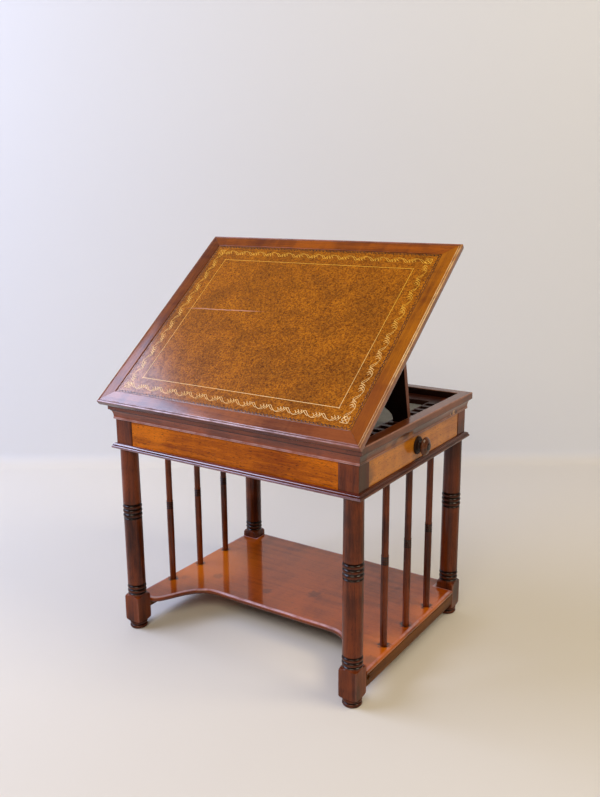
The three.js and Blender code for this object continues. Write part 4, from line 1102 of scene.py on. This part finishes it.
def inset(outline, amount):
    # each corner moved in along the bisector so that both its edges move by the amount
    before = outline - np.roll(outline, 1, axis=0)
    after = np.roll(outline, -1, axis=0) - outline
    normals = [np.stack((-e[:, 1], e[:, 0]), axis=1) / np.linalg.norm(e, axis=1)[:, None]
               for e in (before, after)]
    bisector = normals[0] + normals[1]
    bisector /= np.sum(bisector * normals[0], axis=1)[:, None]
    return outline + bisector * amount


def makeShelf():
    # the outline stacked in layers (inset, z): rounded under edge and a full nosing above; grimeshade paints
    # shade on the lower layers of the edge, and the wornRows of the nosing carry a painted highlight
    v = shelfValues
    outline = shelfOutline()
    turn = np.radians(np.linspace(0, 90, 6))
    low, high, under, nosing = v["top"] - v["thickness"], v["top"], v["underRound"], v["nosing"]
    layers = [(7.0, low)]
    layers += [(under * (1 - math.sin(a)), low + under * (1 - math.cos(a))) for a in turn]
    layers += [(nosing * (1 - math.cos(a)), high - nosing * (1 - math.sin(a))) for a in turn]
    layers += [(nosing + 2.5, high)]
    points = np.array([np.column_stack((inset(outline, amount), np.full(len(outline), z)))
                       for amount, z in layers])
    row = np.arange(len(layers))
    grimeshade = np.zeros(len(layers))
    grimeshade[:len(v["grimeshade"])] = v["grimeshade"]
    makePiece("shelf_moulded", points, "case", ["shelf_board"], woodMaterial("shelf", "x"),
              wearsheen=((row >= v["wornRows"][0]) & (row < v["wornRows"][1]))[:, None], grimeshade=grimeshade[:, None])


makeShelf()
print("shelf cut")

# how far the arrises of the plain CAD boards are eased, by how their names start
easedBoards = {"drawer_front": 0.8, "frieze_rail_": 0.5, "drawer_rail_": 0.5, "strut_board": 1.2,
               "shelf_bearer_": 1.2, "well_ledge_": 0.7, "ratchet_strip_": 0.5, "drawer_side_": 1.0,
               "drawer_back": 1.0, "strut_hinge_batten": 1.2, "drawer_runner_": 0.8}


def easeEdges(piece, width):
    # loose triangles welded, then every arris rounded a little
    weld = piece.modifiers.new("weld", "WELD")
    weld.merge_threshold = 1e-5
    bevel = piece.modifiers.new("ease", "BEVEL")
    bevel.width = width * mm
    bevel.segments = 3
    bevel.limit_method = "ANGLE"
    bevel.angle_limit = math.radians(40)
    bevel.harden_normals = False
    bevel.use_clamp_overlap = True


for name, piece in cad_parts.items():
    for start, width in easedBoards.items():
        if name.startswith(start):
            easeEdges(piece, width)
print("boards eased")

# the focal length and the image's height are in pixels
cameraValues = {"place": (1.004266, -1.478448, 0.967854), "yaw": 33.604, "pitch": 13.865, "roll": -0.397,
                "focal": 851.451, "imageHeight": 797, "sensor": 36.0}
stageValues = {"wallDistance": 2.93, "coveRadius": 0.05, "wallHeight": 1.85, "halfWidth": 6.0,
               "frontLength": 6.0, "floor": (222, 216, 206), "wall": (227, 229, 235), "roughness": 0.75}
lampValues = {
    "windowLeft": {"place": (-2.15, -1.3, 2.25), "aim": (-0.25, -0.2, 0.6), "size": (2.6, 1.45), "power": 102,
                   "colour": (0.6, 0.69, 1.0)},
    "softFront": {"place": (1.1, -2.9, 2.9), "aim": (0, 0, 0.4), "size": (2.4, 1.4), "power": 62,
                  "colour": (1.0, 0.88, 0.68)},
    "warmRight": {"place": (2.3, 0.25, 2.7), "aim": (0, 0, 0.3), "size": (1.4, 1.4), "power": 42,
                  "colour": (1.0, 0.86, 0.62)},
}
worldValues = {"colour": (1.0, 0.92, 0.8, 1), "strength": 0.16}


def addObject(name, data):
    # an object of its own for the camera, the backdrop or a lamp
    made = bpy.data.objects.new(name, data)
    bpy.context.scene.collection.objects.link(made)
    return made


def makeCamera():
    # looks along (-sin yaw cos pitch, cos yaw cos pitch, -sin pitch), then rolls about that line
    v = cameraValues
    yaw, pitch, roll = (math.radians(v[k]) for k in ("yaw", "pitch", "roll"))
    ahead = Vector((-math.sin(yaw) * math.cos(pitch), math.cos(yaw) * math.cos(pitch), -math.sin(pitch)))
    right = Vector((math.cos(yaw), math.sin(yaw), 0))
    up = right.cross(ahead)
    right, up = (math.cos(roll) * right + math.sin(roll) * up, math.cos(roll) * up - math.sin(roll) * right)
    data = bpy.data.cameras.new("camera")
    data.sensor_width = v["sensor"]
    data.lens = v["focal"] * v["sensor"] / v["imageHeight"]
    made = addObject("camera", data)
    made.matrix_world = Matrix.Translation(v["place"]) @ Matrix((right, up, -ahead)).transposed().to_4x4()
    bpy.context.scene.camera = made


def stageMaterial():
    # a cream floor and a grey wall, seen through from behind so that other views are clear
    v = stageValues
    material, w, shader = newMaterial("paleStudio")
    higher = w.ramp(w.parts(w.place())[2], 0.0, v["coveRadius"])
    w.fill(shader, {"Base Color": w.mix(higher, tone(*v["floor"]), tone(*v["wall"])),
                    "Roughness": v["roughness"], "Specular IOR Level": 0.2})
    direct = w.node("LightPath").outputs["Is Camera Ray"]
    behind = w.times(w.node("NewGeometry").outputs["Backfacing"], direct)
    clear = w.node("BsdfTransparent").outputs[0]
    chosen = w.node("MixShader", {0: behind, 1: shader.outputs[0], 2: clear})
    w.fill(material.node_tree.nodes["Material Output"], {"Surface": chosen.outputs[0]})
    return material


def makeBackdrop():
    # a floor line, a quarter circle and a wall line, carried sideways across the view
    v = stageValues
    yaw = math.radians(cameraValues["yaw"])
    ahead = np.array((-math.sin(yaw), math.cos(yaw), 0.0))
    right = np.array((math.cos(yaw), math.sin(yaw), 0.0))
    a = np.linspace(0, math.pi / 2, 13)
    bent = v["wallDistance"] - v["coveRadius"] * (1 - np.sin(a))
    depth = np.concatenate(([-v["frontLength"]], bent, [v["wallDistance"]]))
    height = np.concatenate(([0.0], v["coveRadius"] * (1 - np.cos(a)), [v["wallHeight"]]))
    start = np.array((*cameraValues["place"][:2], 0.0))
    line = start + depth[:, None] * ahead + height[:, None] * np.array((0, 0, 1.0))
    points = np.stack((line - right * v["halfWidth"], line + right * v["halfWidth"]), axis=1).reshape(-1, 3)
    k = np.arange(len(line) - 1)
    faces = np.stack((2 * k, 2 * k + 1, 2 * k + 3, 2 * k + 2), axis=1)
    mesh = bpy.data.meshes.new("backdrop")
    mesh.from_pydata(points.tolist(), [], faces.tolist())
    mesh.shade_smooth()
    mesh.materials.append(stageMaterial())
    addObject("backdrop", mesh)


def makeLamp(name, place, aim, size, power, colour):
    # a rectangular lamp turned so that it shines from its place towards its aim
    data = bpy.data.lights.new(name, "AREA")
    data.shape = "RECTANGLE"
    data.size, data.size_y = size
    data.energy = power
    data.color = colour
    made = addObject(name, data)
    made.location = place
    made.rotation_euler = (Vector(aim) - Vector(place)).to_track_quat("-Z", "Y").to_euler()


makeCamera()
makeBackdrop()
for name, lamp in lampValues.items():
    makeLamp(name, **lamp)
world = bpy.context.scene.world or bpy.data.worlds.new("world")
bpy.context.scene.world = world
world.use_nodes = True
sky = world.node_tree.nodes["Background"]
sky.inputs["Color"].default_value = worldValues["colour"]
sky.inputs["Strength"].default_value = worldValues["strength"]
bpy.context.scene.view_settings.view_transform = "Standard"
print("stage ready")
